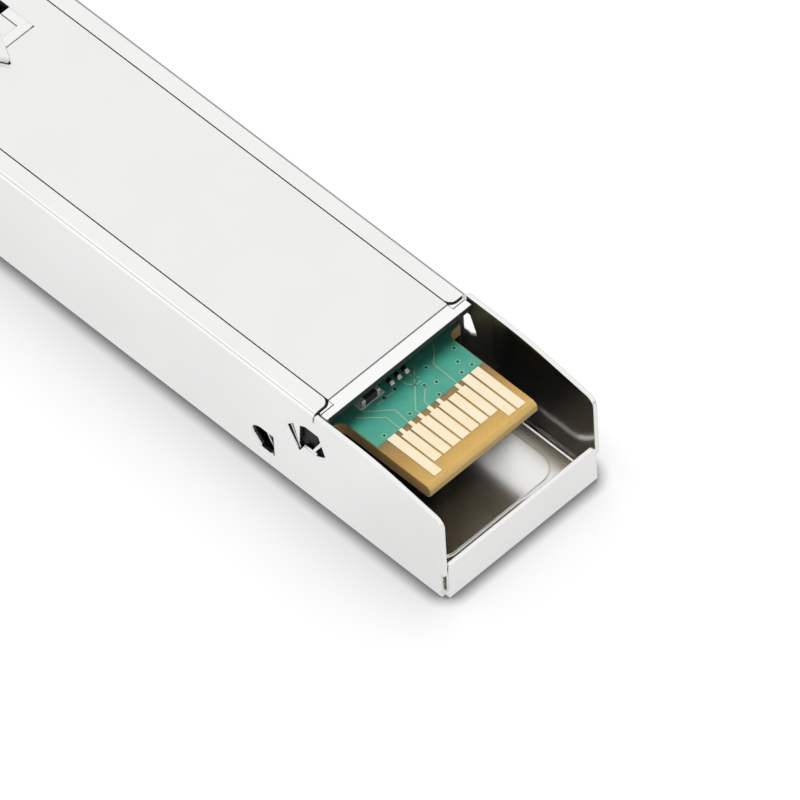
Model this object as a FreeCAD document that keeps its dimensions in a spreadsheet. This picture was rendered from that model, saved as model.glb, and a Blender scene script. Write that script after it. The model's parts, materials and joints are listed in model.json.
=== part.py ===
import FreeCAD, Part
import math
import operator
import os
from types import SimpleNamespace

import Sketcher

# Small form-factor pluggable transceiver, lying on its label face with the latch face up.
# Origin: on the label face, on the mid plane, below the shoulder of the latch boss.
# +X runs to the host end, +Y across, +Z out of the latch face. Lengths are in millimetres.

DIMENSIONS = [
    ("body_width", 13.4, "outside width over the sheet side walls"),
    ("body_height", 8.5, "label face to latch face"),
    ("latch_to_rear", 47.0, "latch shoulder to the rear face of the flap"),
    ("sheet_gauge", 0.3, "thickness of the cover's sheet"),
    ("bend_radius", 0.3, "inside radius of the cover's long bends"),
    ("fit_gap", 0.05, "clearance between the cover and what it wraps"),
    ("seam_gap", 0.08, "seam between a flange and the casting's panel"),
    ("flange_reach", 1.5, "flange width over the latch face"),
    ("flange_corner", 0.55, "rounding of the flange's inner rear corner"),
    ("flange_setback", 0.9, "flange end to the edge of the rear opening"),
    ("slit_width", 0.2, "relief slit between flange and open wall"),
    ("slit_depth", 0.75, "depth of the relief slit below the latch face"),
    ("opening_length", 10.3, "rear face to the edge of the rear opening"),
    ("wall_setback", 0.1, "rear face to the end of the side walls"),
    ("wall_foot_setback", 0.35, "step back of the wall end beside the flap"),
    ("wall_foot_height", 2.3, "height of that step"),
    ("wall_drop", 1.0, "fall of the open wall's top edge at its end"),
    ("wall_drop_length", 5.9, "length over which the top edge falls"),
    ("wall_drop_radius", 24.0, "radius that eases the start of the fall"),
    ("wall_corner", 0.75, "rounding of the wall's upper rear corner"),
    ("flap_height", 3.1, "height of the rear flap"),
    ("flap_gap", 0.04, "gap between the flap's ends and the walls"),
    ("flap_bend", 0.15, "inside radius of the flap's bend"),
    ("flap_corner", 0.3, "rounding of the flap's upper corners"),
    ("label_width", 10.3, "width of the label recess"),
    ("label_front", 4.0, "latch shoulder to the front of the label recess"),
    ("label_rear_margin", 2.1, "rear face to the end of the label recess"),
    ("label_corner", 1.4, "corner radius of the label recess"),
    ("label_thickness", 0.1, "thickness of the label"),
    ("label_margin", 0.2, "label edge to the edge of its recess"),
    ("emboss_depth", 0.15, "depth of the label recess"),
    ("leaf_rear", 14.85, "rear face to the leaf-shaped window"),
    ("leaf_length", 2.0, "length of the leaf-shaped window"),
    ("leaf_bottom", 1.3, "label face to the leaf-shaped window"),
    ("leaf_height", 1.9, "height of the leaf-shaped window"),
    ("leaf_round", 0.95, "rounding of the leaf's upper front corner"),
    ("leaf_bevel", 0.75, "bevel of the leaf's lower front corner"),
    ("kite_rear", 10.2, "rear face to the kite-shaped window"),
    ("kite_length", 2.35, "length of the kite-shaped window"),
    ("kite_bottom", 3.9, "label face to the kite's lower point"),
    ("kite_height", 2.9, "height of the kite-shaped window"),
    ("kite_step", 0.72, "lower point up to the kite's bottom edge"),
    ("kite_foot", 0.4, "lower point to the front of the kite's bottom edge"),
    ("kite_heel", 1.5, "lower point to the rear of the kite's bottom edge"),
    ("kite_brow", 0.68, "lower point to the front of the kite's top edge"),
    ("kite_cheek", 0.18, "lower point to the bend in the kite's front side"),
    ("kite_lean", 0.55, "lean of the kite's rear side"),
    ("kite_corner", 0.22, "rounding of the kite's rear corner"),
    ("petal_point", 0.7, "lower point up to the point of the petal between kite and slot"),
    ("slot_lean", 0.94, "lean of the slot beside the kite"),
    ("slot_width", 0.53, "width of that slot at its top"),
    ("rail_thickness", 0.6, "thickness of the casting's side rails"),
    ("rail_setback", 3.4, "opening edge to the rear end of the side rails"),
    ("ledge_width", 0.45, "width of the ledge that the board sits on"),
    ("bar_length", 1.05, "length of the end bar at the opening"),
    ("bar_step", 0.07, "drop of the end bar below the panel"),
    ("lip_thickness", 0.45, "thickness of the end bar"),
    ("lip_length", 1.6, "length of the relief under the end bar"),
    ("bar_end_gap", 0.12, "gap between the end bar and the open walls"),
    ("bar_notch", 0.35, "flange end to the end bar's outer stretch"),
    ("bar_round", 0.22, "rounding of the end bar's ends"),
    ("rail_window_margin", 0.35, "room around a cover window in the side rail"),
    ("stop_to_latch", 2.5, "latch shoulder to the positive stop"),
    ("stop_thickness", 1.1, "thickness of the positive stop"),
    ("stop_lip", 0.3, "positive stop beyond the cover's side walls"),
    ("stop_margin", 0.6, "stop's upper and lower edges to the body's faces"),
    ("nose_length", 7.5, "positive stop to the front face of the nose"),
    ("nose_rise", 0.1, "nose above the latch face"),
    ("nose_setback", 0.5, "cover's side face to the nose's side face"),
    ("nose_wall", 0.75, "port to the nose's side face"),
    ("port_rib", 1.6, "wall between the two connector ports"),
    ("port_height", 4.65, "height of a connector port"),
    ("port_depth", 8.0, "depth of the connector port"),
    ("port_web", 0.18, "metal between the ports and the lever recess"),
    ("port_slot_width", 3.0, "width of the slot for the plug's latch"),
    ("port_slot_depth", 1.05, "depth of that slot"),
    ("port_slot_length", 2.4, "length of the slot's narrow mouth"),
    ("port_hook_margin", 0.175, "port's side to the side of the pocket behind the mouth"),
    ("port_hook_length", 2.6, "length of the pocket behind the mouth"),
    ("bulkhead_back", 0.5, "latch shoulder to the rear of the bulkhead"),
    ("recess_width", 6.3, "width of the lever recess in the latch face"),
    ("recess_rear", 1.35, "latch shoulder to the rear edge of the recess"),
    ("recess_slope", 0.75, "run of the sloped rear wall of the recess"),
    ("sink_room", 0.65, "room below the lever's rear arm"),
    ("shaft_setback", 1.1, "nose front to the bail's shaft"),
    ("shaft_drop", 0.8, "latch face to the bail's shaft"),
    ("shaft_radius", 0.5, "radius of the bail's shaft"),
    ("shaft_gap", 0.05, "clearance around the bail's shaft"),
    ("cam_radius", 0.55, "radius of the cam on the bail's shaft"),
    ("cam_throw", 0.33, "offset of the cam from the shaft"),
    ("cam_width", 4.4, "width of the cam"),
    ("cam_gap", 0.033, "clearance between the cam and the lever at rest"),
    ("toe_gap", 0.1, "gap between the lever's front arm and the shaft's shoulders"),
    ("bail_gap", 0.1, "gap between a bail leg and the nose"),
    ("bail_leg", 0.65, "thickness of a bail leg"),
    ("bail_head", 1.8, "width of a leg around the shaft"),
    ("bail_bar_gap", 0.1, "nose front to the grip bar"),
    ("bail_bar_depth", 1.5, "depth of the grip bar"),
    ("bail_bar_height", 0.8, "height of the grip bar"),
    ("bail_bar_lift", 0.1, "label face to the grip bar"),
    ("bail_knee", 2.2, "height of the bend in a leg"),
    ("bail_corner", 0.35, "rounding of the grip bar and leg corners"),
    ("pivot_setback", 4.6, "latch shoulder to the lever's pin"),
    ("pin_radius", 0.4, "radius of the lever's pin"),
    ("pin_gap", 0.05, "clearance between the pin and the lever"),
    ("pin_seat", 1.2, "length of pin held in each side of the recess"),
    ("hub_radius", 0.8, "radius of the lever's hub"),
    ("hub_gap", 0.08, "clearance below the lever's hub"),
    ("lever_side_gap", 0.7, "gap between the lever and the side of its recess"),
    ("lever_front_gap", 0.3, "nose front to the lever's front end"),
    ("lever_arm", 0.6, "thickness of the lever's rear arm"),
    ("lever_toe", 0.5, "thickness of the lever's front arm"),
    ("lever_reach", 0.45, "latch shoulder to the end of the rear arm"),
    ("boss_width", 2.6, "width of the latch boss"),
    ("boss_length", 2.45, "latch shoulder to the boss's point"),
    ("boss_height", 0.45, "boss above the latch face"),
    ("boss_root", 0.25, "boss's underside above the pin"),
    ("boss_round", 0.12, "rounding of the boss's point"),
    ("boss_gap", 0.2, "gap between the boss and its notch along X"),
    ("spring_gauge", 0.12, "thickness of the leaf spring"),
    ("spring_width", 2.4, "width of the leaf spring"),
    ("spring_foot", 1.4, "length of the spring's flat foot"),
    ("spring_gap", 0.02, "clearance between spring and lever at rest"),
    ("board_thickness", 1.0, "thickness of the circuit board"),
    ("board_depth", 2.15, "latch face to the board's latch-side face"),
    ("board_setback", 3.2, "rear face to the end of the tongue"),
    ("board_front", 12.0, "latch shoulder to the front edge of the board"),
    ("board_gap", 0.05, "clearance between board and casting"),
    ("tongue_width", 9.2, "width of the edge-connector tongue"),
    ("shoulder_setback", 0.65, "opening edge to the board's shoulder"),
    ("shoulder_fillet", 0.6, "inside radius at the board's shoulder"),
    ("board_bevel", 0.25, "bevel of the tongue's end"),
    ("contact_pitch", 0.8, "pitch of the host contacts"),
    ("contact_width", 0.66, "width of a host contact"),
    ("contact_thickness", 0.04, "thickness of a host contact"),
    ("contact_shift", 0.2, "offset of a contact row from the mid plane"),
    ("contact_margin", 0.5, "board end to the long contacts"),
    ("long_contact", 4.1, "length of a ground contact"),
    ("mid_contact", 3.5, "length of a supply contact"),
    ("short_contact", 2.85, "length of a signal contact"),
    ("short_setback", 0.8, "long contact's end to a short contact's end"),
    ("stub_width", 0.28, "width of the trace that runs into a contact"),
    ("driver_size", 5.0, "side of the driver chip"),
    ("driver_height", 0.7, "height of the driver chip"),
    ("driver_front", 4.5, "board front to the driver chip"),
    ("pad_thickness", 0.25, "thickness of the thermal pad on the driver chip"),
    ("controller_size", 4.0, "side of the controller chip"),
    ("controller_height", 0.9, "height of the controller chip"),
    ("controller_front", 9.0, "board front to the controller chip"),
    ("resistor_length", 0.6, "length of a chip resistor"),
    ("resistor_width", 0.3, "width of a chip resistor"),
    ("resistor_height", 0.25, "height of a chip resistor"),
    ("resistor_pitch", 0.64, "pitch of the resistors at the opening"),
    ("resistor_setback", 0.95, "opening edge to the resistors"),
    ("capacitor_length", 1.6, "length of a chip capacitor"),
    ("capacitor_width", 0.8, "width of a chip capacitor"),
    ("capacitor_height", 0.5, "height of a chip capacitor"),
    ("inductor_size", 2.0, "side of a power inductor"),
    ("inductor_height", 1.2, "height of a power inductor"),
    ("inductor_front", 16.0, "board front to the power inductors"),
    ("barrel_radius", 1.45, "outside radius of an optical barrel"),
    ("barrel_reach", 3.2, "barrel's tip ahead of the bulkhead's front"),
    ("barrel_gap", 0.08, "clearance around a barrel in the bulkhead"),
    ("barrel_lip", 0.5, "length of the lip that keeps the sleeve in"),
    ("collar_radius", 2.1, "radius of a barrel's two collars"),
    ("collar_length", 0.85, "length of a collar"),
    ("neck_radius", 1.75, "radius of the neck between the collars"),
    ("neck_length", 1.0, "length of the neck between the collars"),
    ("housing_wall", 0.2, "wall of the barrel's rear housing"),
    ("housing_length", 3.0, "length of the barrel's rear housing"),
    ("saddle_gap", 0.08, "clearance between a neck and its saddle"),
    ("sleeve_bore", 0.63, "bore radius of the ferrule sleeve"),
    ("sleeve_radius", 0.95, "outside radius of the ferrule sleeve"),
    ("sleeve_length", 4.4, "length of the ferrule sleeve"),
    ("light_path", 0.3, "radius of the light path behind the sleeve"),
    ("header_radius", 2.35, "radius of a can's header"),
    ("header_length", 1.2, "thickness of a can's header"),
    ("cap_radius", 1.75, "radius of a can's cap"),
    ("cap_length", 1.9, "length of a can's cap"),
    ("cap_gap", 0.05, "clearance around a can's cap"),
    ("lead_radius", 0.22, "radius of a can's leads"),
    ("lead_length", 0.7, "length of a can's leads"),
    ("lead_circle", 1.0, "radius of the circle of leads"),
    ("can_relief", 0.1, "clearance between a can and the casting"),
    ("flex_gauge", 0.12, "thickness of a flexible circuit"),
    ("flex_width", 3.4, "width of a flexible circuit"),
    ("flex_land", 2.2, "flexible circuit's overlap with the board"),
]

# The signal order of the host contacts, each from the -Y side: long, middle or short
LATCH_SIDE_CONTACTS = "LSSSSSSSLL"
LABEL_SIDE_CONTACTS = "LSSLMMLSSL"
CONTACT_WITHOUT_STUB = 6
LEADS_PER_CAN = 4

# How far a cutting shape runs past what it cuts, and how close two measures count as equal
OVERSHOOT = 1.0
TOLERANCE = 1e-4

OPERATIONS = {"+": operator.add, "-": operator.sub, "*": operator.mul, "/": operator.truediv}
SIN_45 = math.sin(math.pi / 4)


class Size:
    """A length together with the spreadsheet formula that gives it."""

    def __init__(self, value, formula):
        self.value = value
        self.formula = formula

    def __add__(self, other):
        return combine(self, "+", other)

    def __radd__(self, other):
        return combine(other, "+", self)

    def __sub__(self, other):
        return combine(self, "-", other)

    def __rsub__(self, other):
        return combine(other, "-", self)

    def __mul__(self, other):
        return combine(self, "*", other)

    def __rmul__(self, other):
        return combine(other, "*", self)

    def __truediv__(self, other):
        return combine(self, "/", other)

    def __neg__(self):
        return combine(0, "-", self)


def as_size(number):
    return number if isinstance(number, Size) else Size(float(number), repr(float(number)))


def combine(left, sign, right):
    left = as_size(left)
    right = as_size(right)
    value = OPERATIONS[sign](left.value, right.value)
    return Size(value, f"({left.formula} {sign} {right.formula})")


def bind(target, name, size):
    target.setExpression(name, as_size(size).formula)


def make_sheet():
    """Write the driving dimensions to the spreadsheet and give each back as a Size."""
    sheet = doc.addObject("Spreadsheet::Sheet", "dims")
    sizes = {}
    for row, (alias, value, meaning) in enumerate(DIMENSIONS, start=1):
        sheet.set(f"A{row}", meaning)
        sheet.set(f"B{row}", str(value))
        sheet.setAlias(f"B{row}", alias)
        sizes[alias] = Size(value, f"dims.{alias}")
    doc.recompute()
    return SimpleNamespace(**sizes)


def box(name, x, y, z):
    """A block from (low, high) pairs along the three axes."""
    solid = doc.addObject("Part::Box", name)
    for edge, place, (low, high) in zip(("Length", "Width", "Height"), "xyz", (x, y, z)):
        bind(solid, edge, as_size(high) - low)
        bind(solid, f"Placement.Base.{place}", low)
    return solid


AXIS_TURNS = {
    "x": FreeCAD.Rotation(FreeCAD.Vector(0, 1, 0), 90),
    "y": FreeCAD.Rotation(FreeCAD.Vector(1, 0, 0), -90),
}


def rod(name, axis, radius, span, **centre):
    """A cylinder along axis x or y over span; centre gives the other two coordinates."""
    solid = doc.addObject("Part::Cylinder", name)
    solid.Placement = FreeCAD.Placement(FreeCAD.Vector(), AXIS_TURNS[axis])
    bind(solid, "Radius", radius)
    bind(solid, "Height", as_size(span[1]) - span[0])
    bind(solid, f"Placement.Base.{axis}", span[0])
    for place, value in centre.items():
        bind(solid, f"Placement.Base.{place}", value)
    return solid


def fuse(name, *pieces):
    solid = doc.addObject("Part::MultiFuse", name)
    solid.Shapes = list(pieces)
    solid.Refine = True
    return solid


def cut(name, base, *tools):
    solid = doc.addObject("Part::Cut", name)
    solid.Base = base
    solid.Tool = tools[0] if len(tools) == 1 else fuse(f"{name}_tools", *tools)
    solid.Refine = True
    return solid


def common(name, base, tool):
    solid = doc.addObject("Part::Common", name)
    solid.Base = base
    solid.Tool = tool
    return solid


def group(name, *pieces):
    """Separate solids that share one node."""
    compound = doc.addObject("Part::Compound", name)
    compound.Links = list(pieces)
    return compound


def round_edges(name, base, radius, chosen):
    """Round the edges of base that chosen() picks."""
    doc.recompute()
    solid = doc.addObject("Part::Fillet", name)
    solid.Base = base
    picked = [number for number, edge in enumerate(base.Shape.Edges, start=1) if chosen(edge)]
    if not picked:
        raise RuntimeError(f"{name} found no edge to round")
    solid.Edges = [(number, radius.value, radius.value) for number in picked]
    return solid


def near(value, size):
    return abs(value - as_size(size).value) < TOLERANCE


def runs_along(edge, axis):
    """Whether an edge starts out along axis x, y or z."""
    return near(abs(getattr(edge.tangentAt(edge.FirstParameter), axis)), 1)


# Sketch planes: the origin plane's role and the way its normal points along the third axis
PLANES = {"XY": ("XY_Plane", 1), "XZ": ("XZ_Plane", -1), "YZ": ("YZ_Plane", 1)}


def outline(body, plane, corners):
    """A closed sketch through corners (u, v) or (u, v, radius), every one bound to the sheet."""
    role = PLANES[plane][0]
    sketch = body.newObject("Sketcher::SketchObject", f"{body.Name}_sketch")
    sketch.AttachmentSupport = ([f for f in body.Origin.OriginFeatures if f.Role == role][0], [""])
    sketch.MapMode = "FlatFace"
    corners = [[as_size(part) for part in corner] for corner in corners]
    points = [FreeCAD.Vector(corner[0].value, corner[1].value, 0) for corner in corners]
    count = len(corners)
    starts = list(points)
    ends = list(points)
    arcs = {}
    for i, corner in enumerate(corners):
        if len(corner) == 2:
            continue
        before = (points[i] - points[i - 1]).normalize()
        after = (points[(i + 1) % count] - points[i]).normalize()
        turn = math.atan2(before.cross(after).z, before.dot(after))
        radius = corner[2].value
        reach = radius * math.tan(abs(turn) / 2)
        ends[i] = points[i] - before * reach
        starts[i] = points[i] + after * reach
        side = FreeCAD.Vector(-before.y, before.x, 0) * math.copysign(radius, turn)
        arcs[i] = (ends[i] + side, turn > 0)
    lines = []
    for i in range(count):
        segment = Part.LineSegment(starts[i], ends[(i + 1) % count])
        lines.append(sketch.addGeometry(segment, False))
    for i, corner in enumerate(corners):
        arriving = lines[i - 1]
        leaving = lines[i]
        if i not in arcs:
            sketch.addConstraint(Sketcher.Constraint("Coincident", arriving, 2, leaving, 1))
            pin_point(sketch, leaving, corner)
            continue
        centre, leftward = arcs[i]
        first, last = (ends[i], starts[i]) if leftward else (starts[i], ends[i])
        angles = [math.atan2(p.y - centre.y, p.x - centre.x) for p in (first, last)]
        circle = Part.Circle(centre, FreeCAD.Vector(0, 0, 1), corner[2].value)
        arc = sketch.addGeometry(Part.ArcOfCircle(circle, *angles), False)
        arc_start, arc_end = (1, 2) if leftward else (2, 1)
        mark = sketch.addGeometry(Part.Point(points[i]), True)
        pin_point(sketch, mark, corner)
        sketch.addConstraint(Sketcher.Constraint("PointOnObject", mark, 1, arriving))
        sketch.addConstraint(Sketcher.Constraint("PointOnObject", mark, 1, leaving))
        sketch.addConstraint(Sketcher.Constraint("Tangent", arriving, 2, arc, arc_start))
        sketch.addConstraint(Sketcher.Constraint("Tangent", arc, arc_end, leaving, 1))
        number = sketch.addConstraint(Sketcher.Constraint("Radius", arc, corner[2].value))
        bind(sketch, f"Constraints[{number}]", corner[2])
    return sketch


def pin_point(sketch, geometry, corner):
    """Hold a sketch point at its two coordinates."""
    for kind, size in zip(("DistanceX", "DistanceY"), corner):
        number = sketch.addConstraint(Sketcher.Constraint(kind, -1, 1, geometry, 1, size.value))
        bind(sketch, f"Constraints[{number}]", size)


def prism(name, plane, corners, low, high):
    """Pad an outline from low to high along the plane's third axis."""
    body = doc.addObject("PartDesign::Body", name)
    sketch = outline(body, plane, corners)
    start = low if PLANES[plane][1] > 0 else -as_size(high)
    bind(sketch, "AttachmentOffset.Base.z", start)
    pad = body.newObject("PartDesign::Pad", f"{name}_pad")
    pad.Profile = sketch
    bind(pad, "Length", as_size(high) - low)
    return body


def turned(name, corners, y, z):
    """Turn an outline of (x, radius) corners about a line along X through y and z."""
    body = doc.addObject("PartDesign::Body", name)
    sketch = outline(body, "XZ", corners)
    turning = body.newObject("PartDesign::Revolution", f"{name}_turning")
    turning.Profile = sketch
    turning.ReferenceAxis = (sketch, ["H_Axis"])
    turning.Angle = 360
    bind(body, "Placement.Base.y", y)
    bind(body, "Placement.Base.z", z)
    return body


def mirrored_pair(low, high):
    """A span across Y on the +Y side and its mirror image."""
    return [(low, high), (-as_size(high), -as_size(low))]


def rounded_rectangle(x, half_width, radius):
    return [(x[0], -half_width, radius), (x[1], -half_width, radius),
            (x[1], half_width, radius), (x[0], half_width, radius)]


doc = FreeCAD.newDocument("sfp_transceiver")
d = make_sheet()
nodes = {}

# Levels that several pieces share, from the label face up
top = d.body_height
half = d.body_width / 2
flange_edge = half - d.flange_reach
inside_half = half - d.sheet_gauge - d.fit_gap
under_flange = top - d.sheet_gauge - d.fit_gap
board_top = top - d.board_depth
board_bottom = board_top - d.board_thickness
driver_top = board_top + d.driver_height
roof_bottom = driver_top + d.pad_thickness
floor_top = d.sheet_gauge + d.emboss_depth
rail_half = inside_half - d.rail_thickness
shaft_z = top - d.shaft_drop
cam_drop = d.cam_throw * SIN_45
nose_floor = shaft_z - cam_drop - d.cam_radius - d.shaft_gap
pivot_z = nose_floor + d.hub_radius + d.hub_gap
sink_floor = pivot_z - d.sink_room
port_top = nose_floor - d.port_web
port_bottom = port_top - d.port_height
axis_z = (port_top + port_bottom) / 2

# Stations along the module
rear = d.latch_to_rear
opening = rear - d.opening_length
flange_end = opening - d.flange_setback
wall_end = rear - d.wall_setback
wall_foot = wall_end - d.wall_foot_setback
stop_face = -d.stop_to_latch
nose_front = stop_face - d.nose_length
shaft_x = nose_front + d.shaft_setback
pivot_x = -d.pivot_setback
board_end = rear - d.board_setback
rail_end = opening - d.rail_setback
port_back = nose_front + d.port_depth
collar_front = d.bulkhead_back + d.fit_gap
neck_front = collar_front + d.collar_length
neck_back = neck_front + d.neck_length
housing_front = neck_back + d.collar_length
housing_back = housing_front + d.housing_length
header_back = housing_back + d.header_length
flex_x = header_back + d.lead_length
leaf_end = rear - d.leaf_rear
leaf_start = leaf_end - d.leaf_length
leaf_top = d.leaf_bottom + d.leaf_height

# Half widths, spans and radii that a piece and its seat share
nose_half = half - d.nose_setback
port_half = (nose_half - d.nose_wall - d.port_rib / 2) / 2
axis_offset = d.port_rib / 2 + port_half
axis_y = {"transmitter": -axis_offset, "receiver": axis_offset}
recess_half = d.recess_width / 2
pin_span = (-recess_half - d.pin_seat, recess_half + d.pin_seat)
saddle_span = (neck_front + d.saddle_gap, neck_back - d.saddle_gap)
saddle_radius = d.neck_radius + d.saddle_gap
shaft_bore = d.shaft_radius + d.shaft_gap
through_cover = (-half - OVERSHOOT, half + OVERSHOOT)
through_nose = (-nose_half - OVERSHOOT, nose_half + OVERSHOOT)


def channel(name, flange_tip, height, x):
    """The cover's folded section: floor, two walls and, with flange_tip given, two flanges."""
    inner = half - d.sheet_gauge
    outer_bend = d.bend_radius + d.sheet_gauge
    right_outer = [(half, 0, outer_bend), (half, height)]
    right_inner = [(inner, height), (inner, d.sheet_gauge, d.bend_radius)]
    if flange_tip is not None:
        under = height - d.sheet_gauge
        right_outer[1] = (half, height, outer_bend)
        right_outer.append((flange_tip, height))
        right_inner = [(flange_tip, under), (inner, under, d.bend_radius), right_inner[1]]
    right = right_outer + right_inner
    left = [(-as_size(corner[0]), *corner[1:]) for corner in reversed(right)]
    return prism(name, "YZ", right + left, *x)


def make_outer_cover():
    slit_end = flange_end + d.slit_width
    folded = channel("cover_folded", flange_edge, top, (stop_face + d.fit_gap, flange_end))
    folded = round_edges(
        "cover_flange_corners", folded, d.flange_corner,
        lambda edge: runs_along(edge, "z") and near(edge.CenterOfMass.x, flange_end)
        and near(abs(edge.CenterOfMass.y), flange_edge))
    bridge = channel("cover_bridge", None, top - d.slit_depth, (flange_end, slit_end))
    tall = channel("cover_open_blank", None, top + OVERSHOOT, (slit_end, wall_end + OVERSHOOT))
    side = prism("cover_side_shape", "XZ", [
        (slit_end - OVERSHOOT, -OVERSHOOT),
        (wall_foot, -OVERSHOOT),
        (wall_foot, d.wall_foot_height),
        (wall_end, d.wall_foot_height),
        (wall_end, top - d.wall_drop, d.wall_corner),
        (wall_end - d.wall_drop_length, top, d.wall_drop_radius),
        (slit_end - OVERSHOOT, top),
    ], *through_cover)
    open_end = common("cover_open_end", tall, side)
    flap_half = half - d.sheet_gauge - d.flap_gap
    strip_start = wall_foot - OVERSHOOT
    flap = prism("cover_flap_strip", "XZ", [
        (strip_start, 0),
        (rear, 0, d.flap_bend + d.sheet_gauge),
        (rear, d.flap_height),
        (rear - d.sheet_gauge, d.flap_height),
        (rear - d.sheet_gauge, d.sheet_gauge, d.flap_bend),
        (strip_start, d.sheet_gauge),
    ], -flap_half, flap_half)
    flap = round_edges(
        "cover_flap_corners", flap, d.flap_corner,
        lambda edge: runs_along(edge, "x") and near(edge.CenterOfMass.z, d.flap_height))
    recess_span = (d.label_front, rear - d.label_rear_margin)
    recess_shape = rounded_rectangle(recess_span, d.label_width / 2, d.label_corner)
    emboss = prism("cover_emboss", "XY", recess_shape, d.sheet_gauge, floor_top)
    recess = prism("cover_label_recess", "XY", recess_shape, 0, d.emboss_depth)
    leaf = prism("cover_leaf_window", "XZ", [
        (leaf_start + d.leaf_bevel, d.leaf_bottom),
        (leaf_end, d.leaf_bottom),
        (leaf_end, leaf_top),
        (leaf_start, leaf_top, d.leaf_round),
        (leaf_start, d.leaf_bottom + d.leaf_bevel),
    ], *through_cover)
    kite_end = rear - d.kite_rear
    kite_start = kite_end - d.kite_length
    kite_edge = d.kite_bottom + d.kite_step
    kite_top = d.kite_bottom + d.kite_height
    kite = prism("cover_kite_window", "XZ", [
        (kite_start, d.kite_bottom),
        (kite_start + d.kite_foot, kite_edge),
        (kite_start + d.kite_heel, kite_edge),
        (kite_end, kite_edge + d.kite_lean, d.kite_corner),
        (kite_end - d.kite_lean, kite_top),
        (kite_start + d.kite_brow, kite_top),
        (kite_start + d.kite_cheek, kite_top - d.kite_lean / 2),
    ], *through_cover)
    slot_top = kite_top - d.kite_lean
    slot_front = kite_start - d.slot_lean
    slot = prism("cover_leaning_slot", "XZ", [
        (kite_start, d.kite_bottom),
        (kite_start + d.kite_cheek / 2, d.kite_bottom + d.petal_point),
        (slot_front + d.slot_width, slot_top),
        (slot_front, slot_top - d.slot_width),
    ], *through_cover)
    sheet = fuse("cover_sheet", folded, bridge, open_end, flap, emboss)
    return cut("outer_cover", sheet, recess, leaf, kite, slot)


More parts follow.
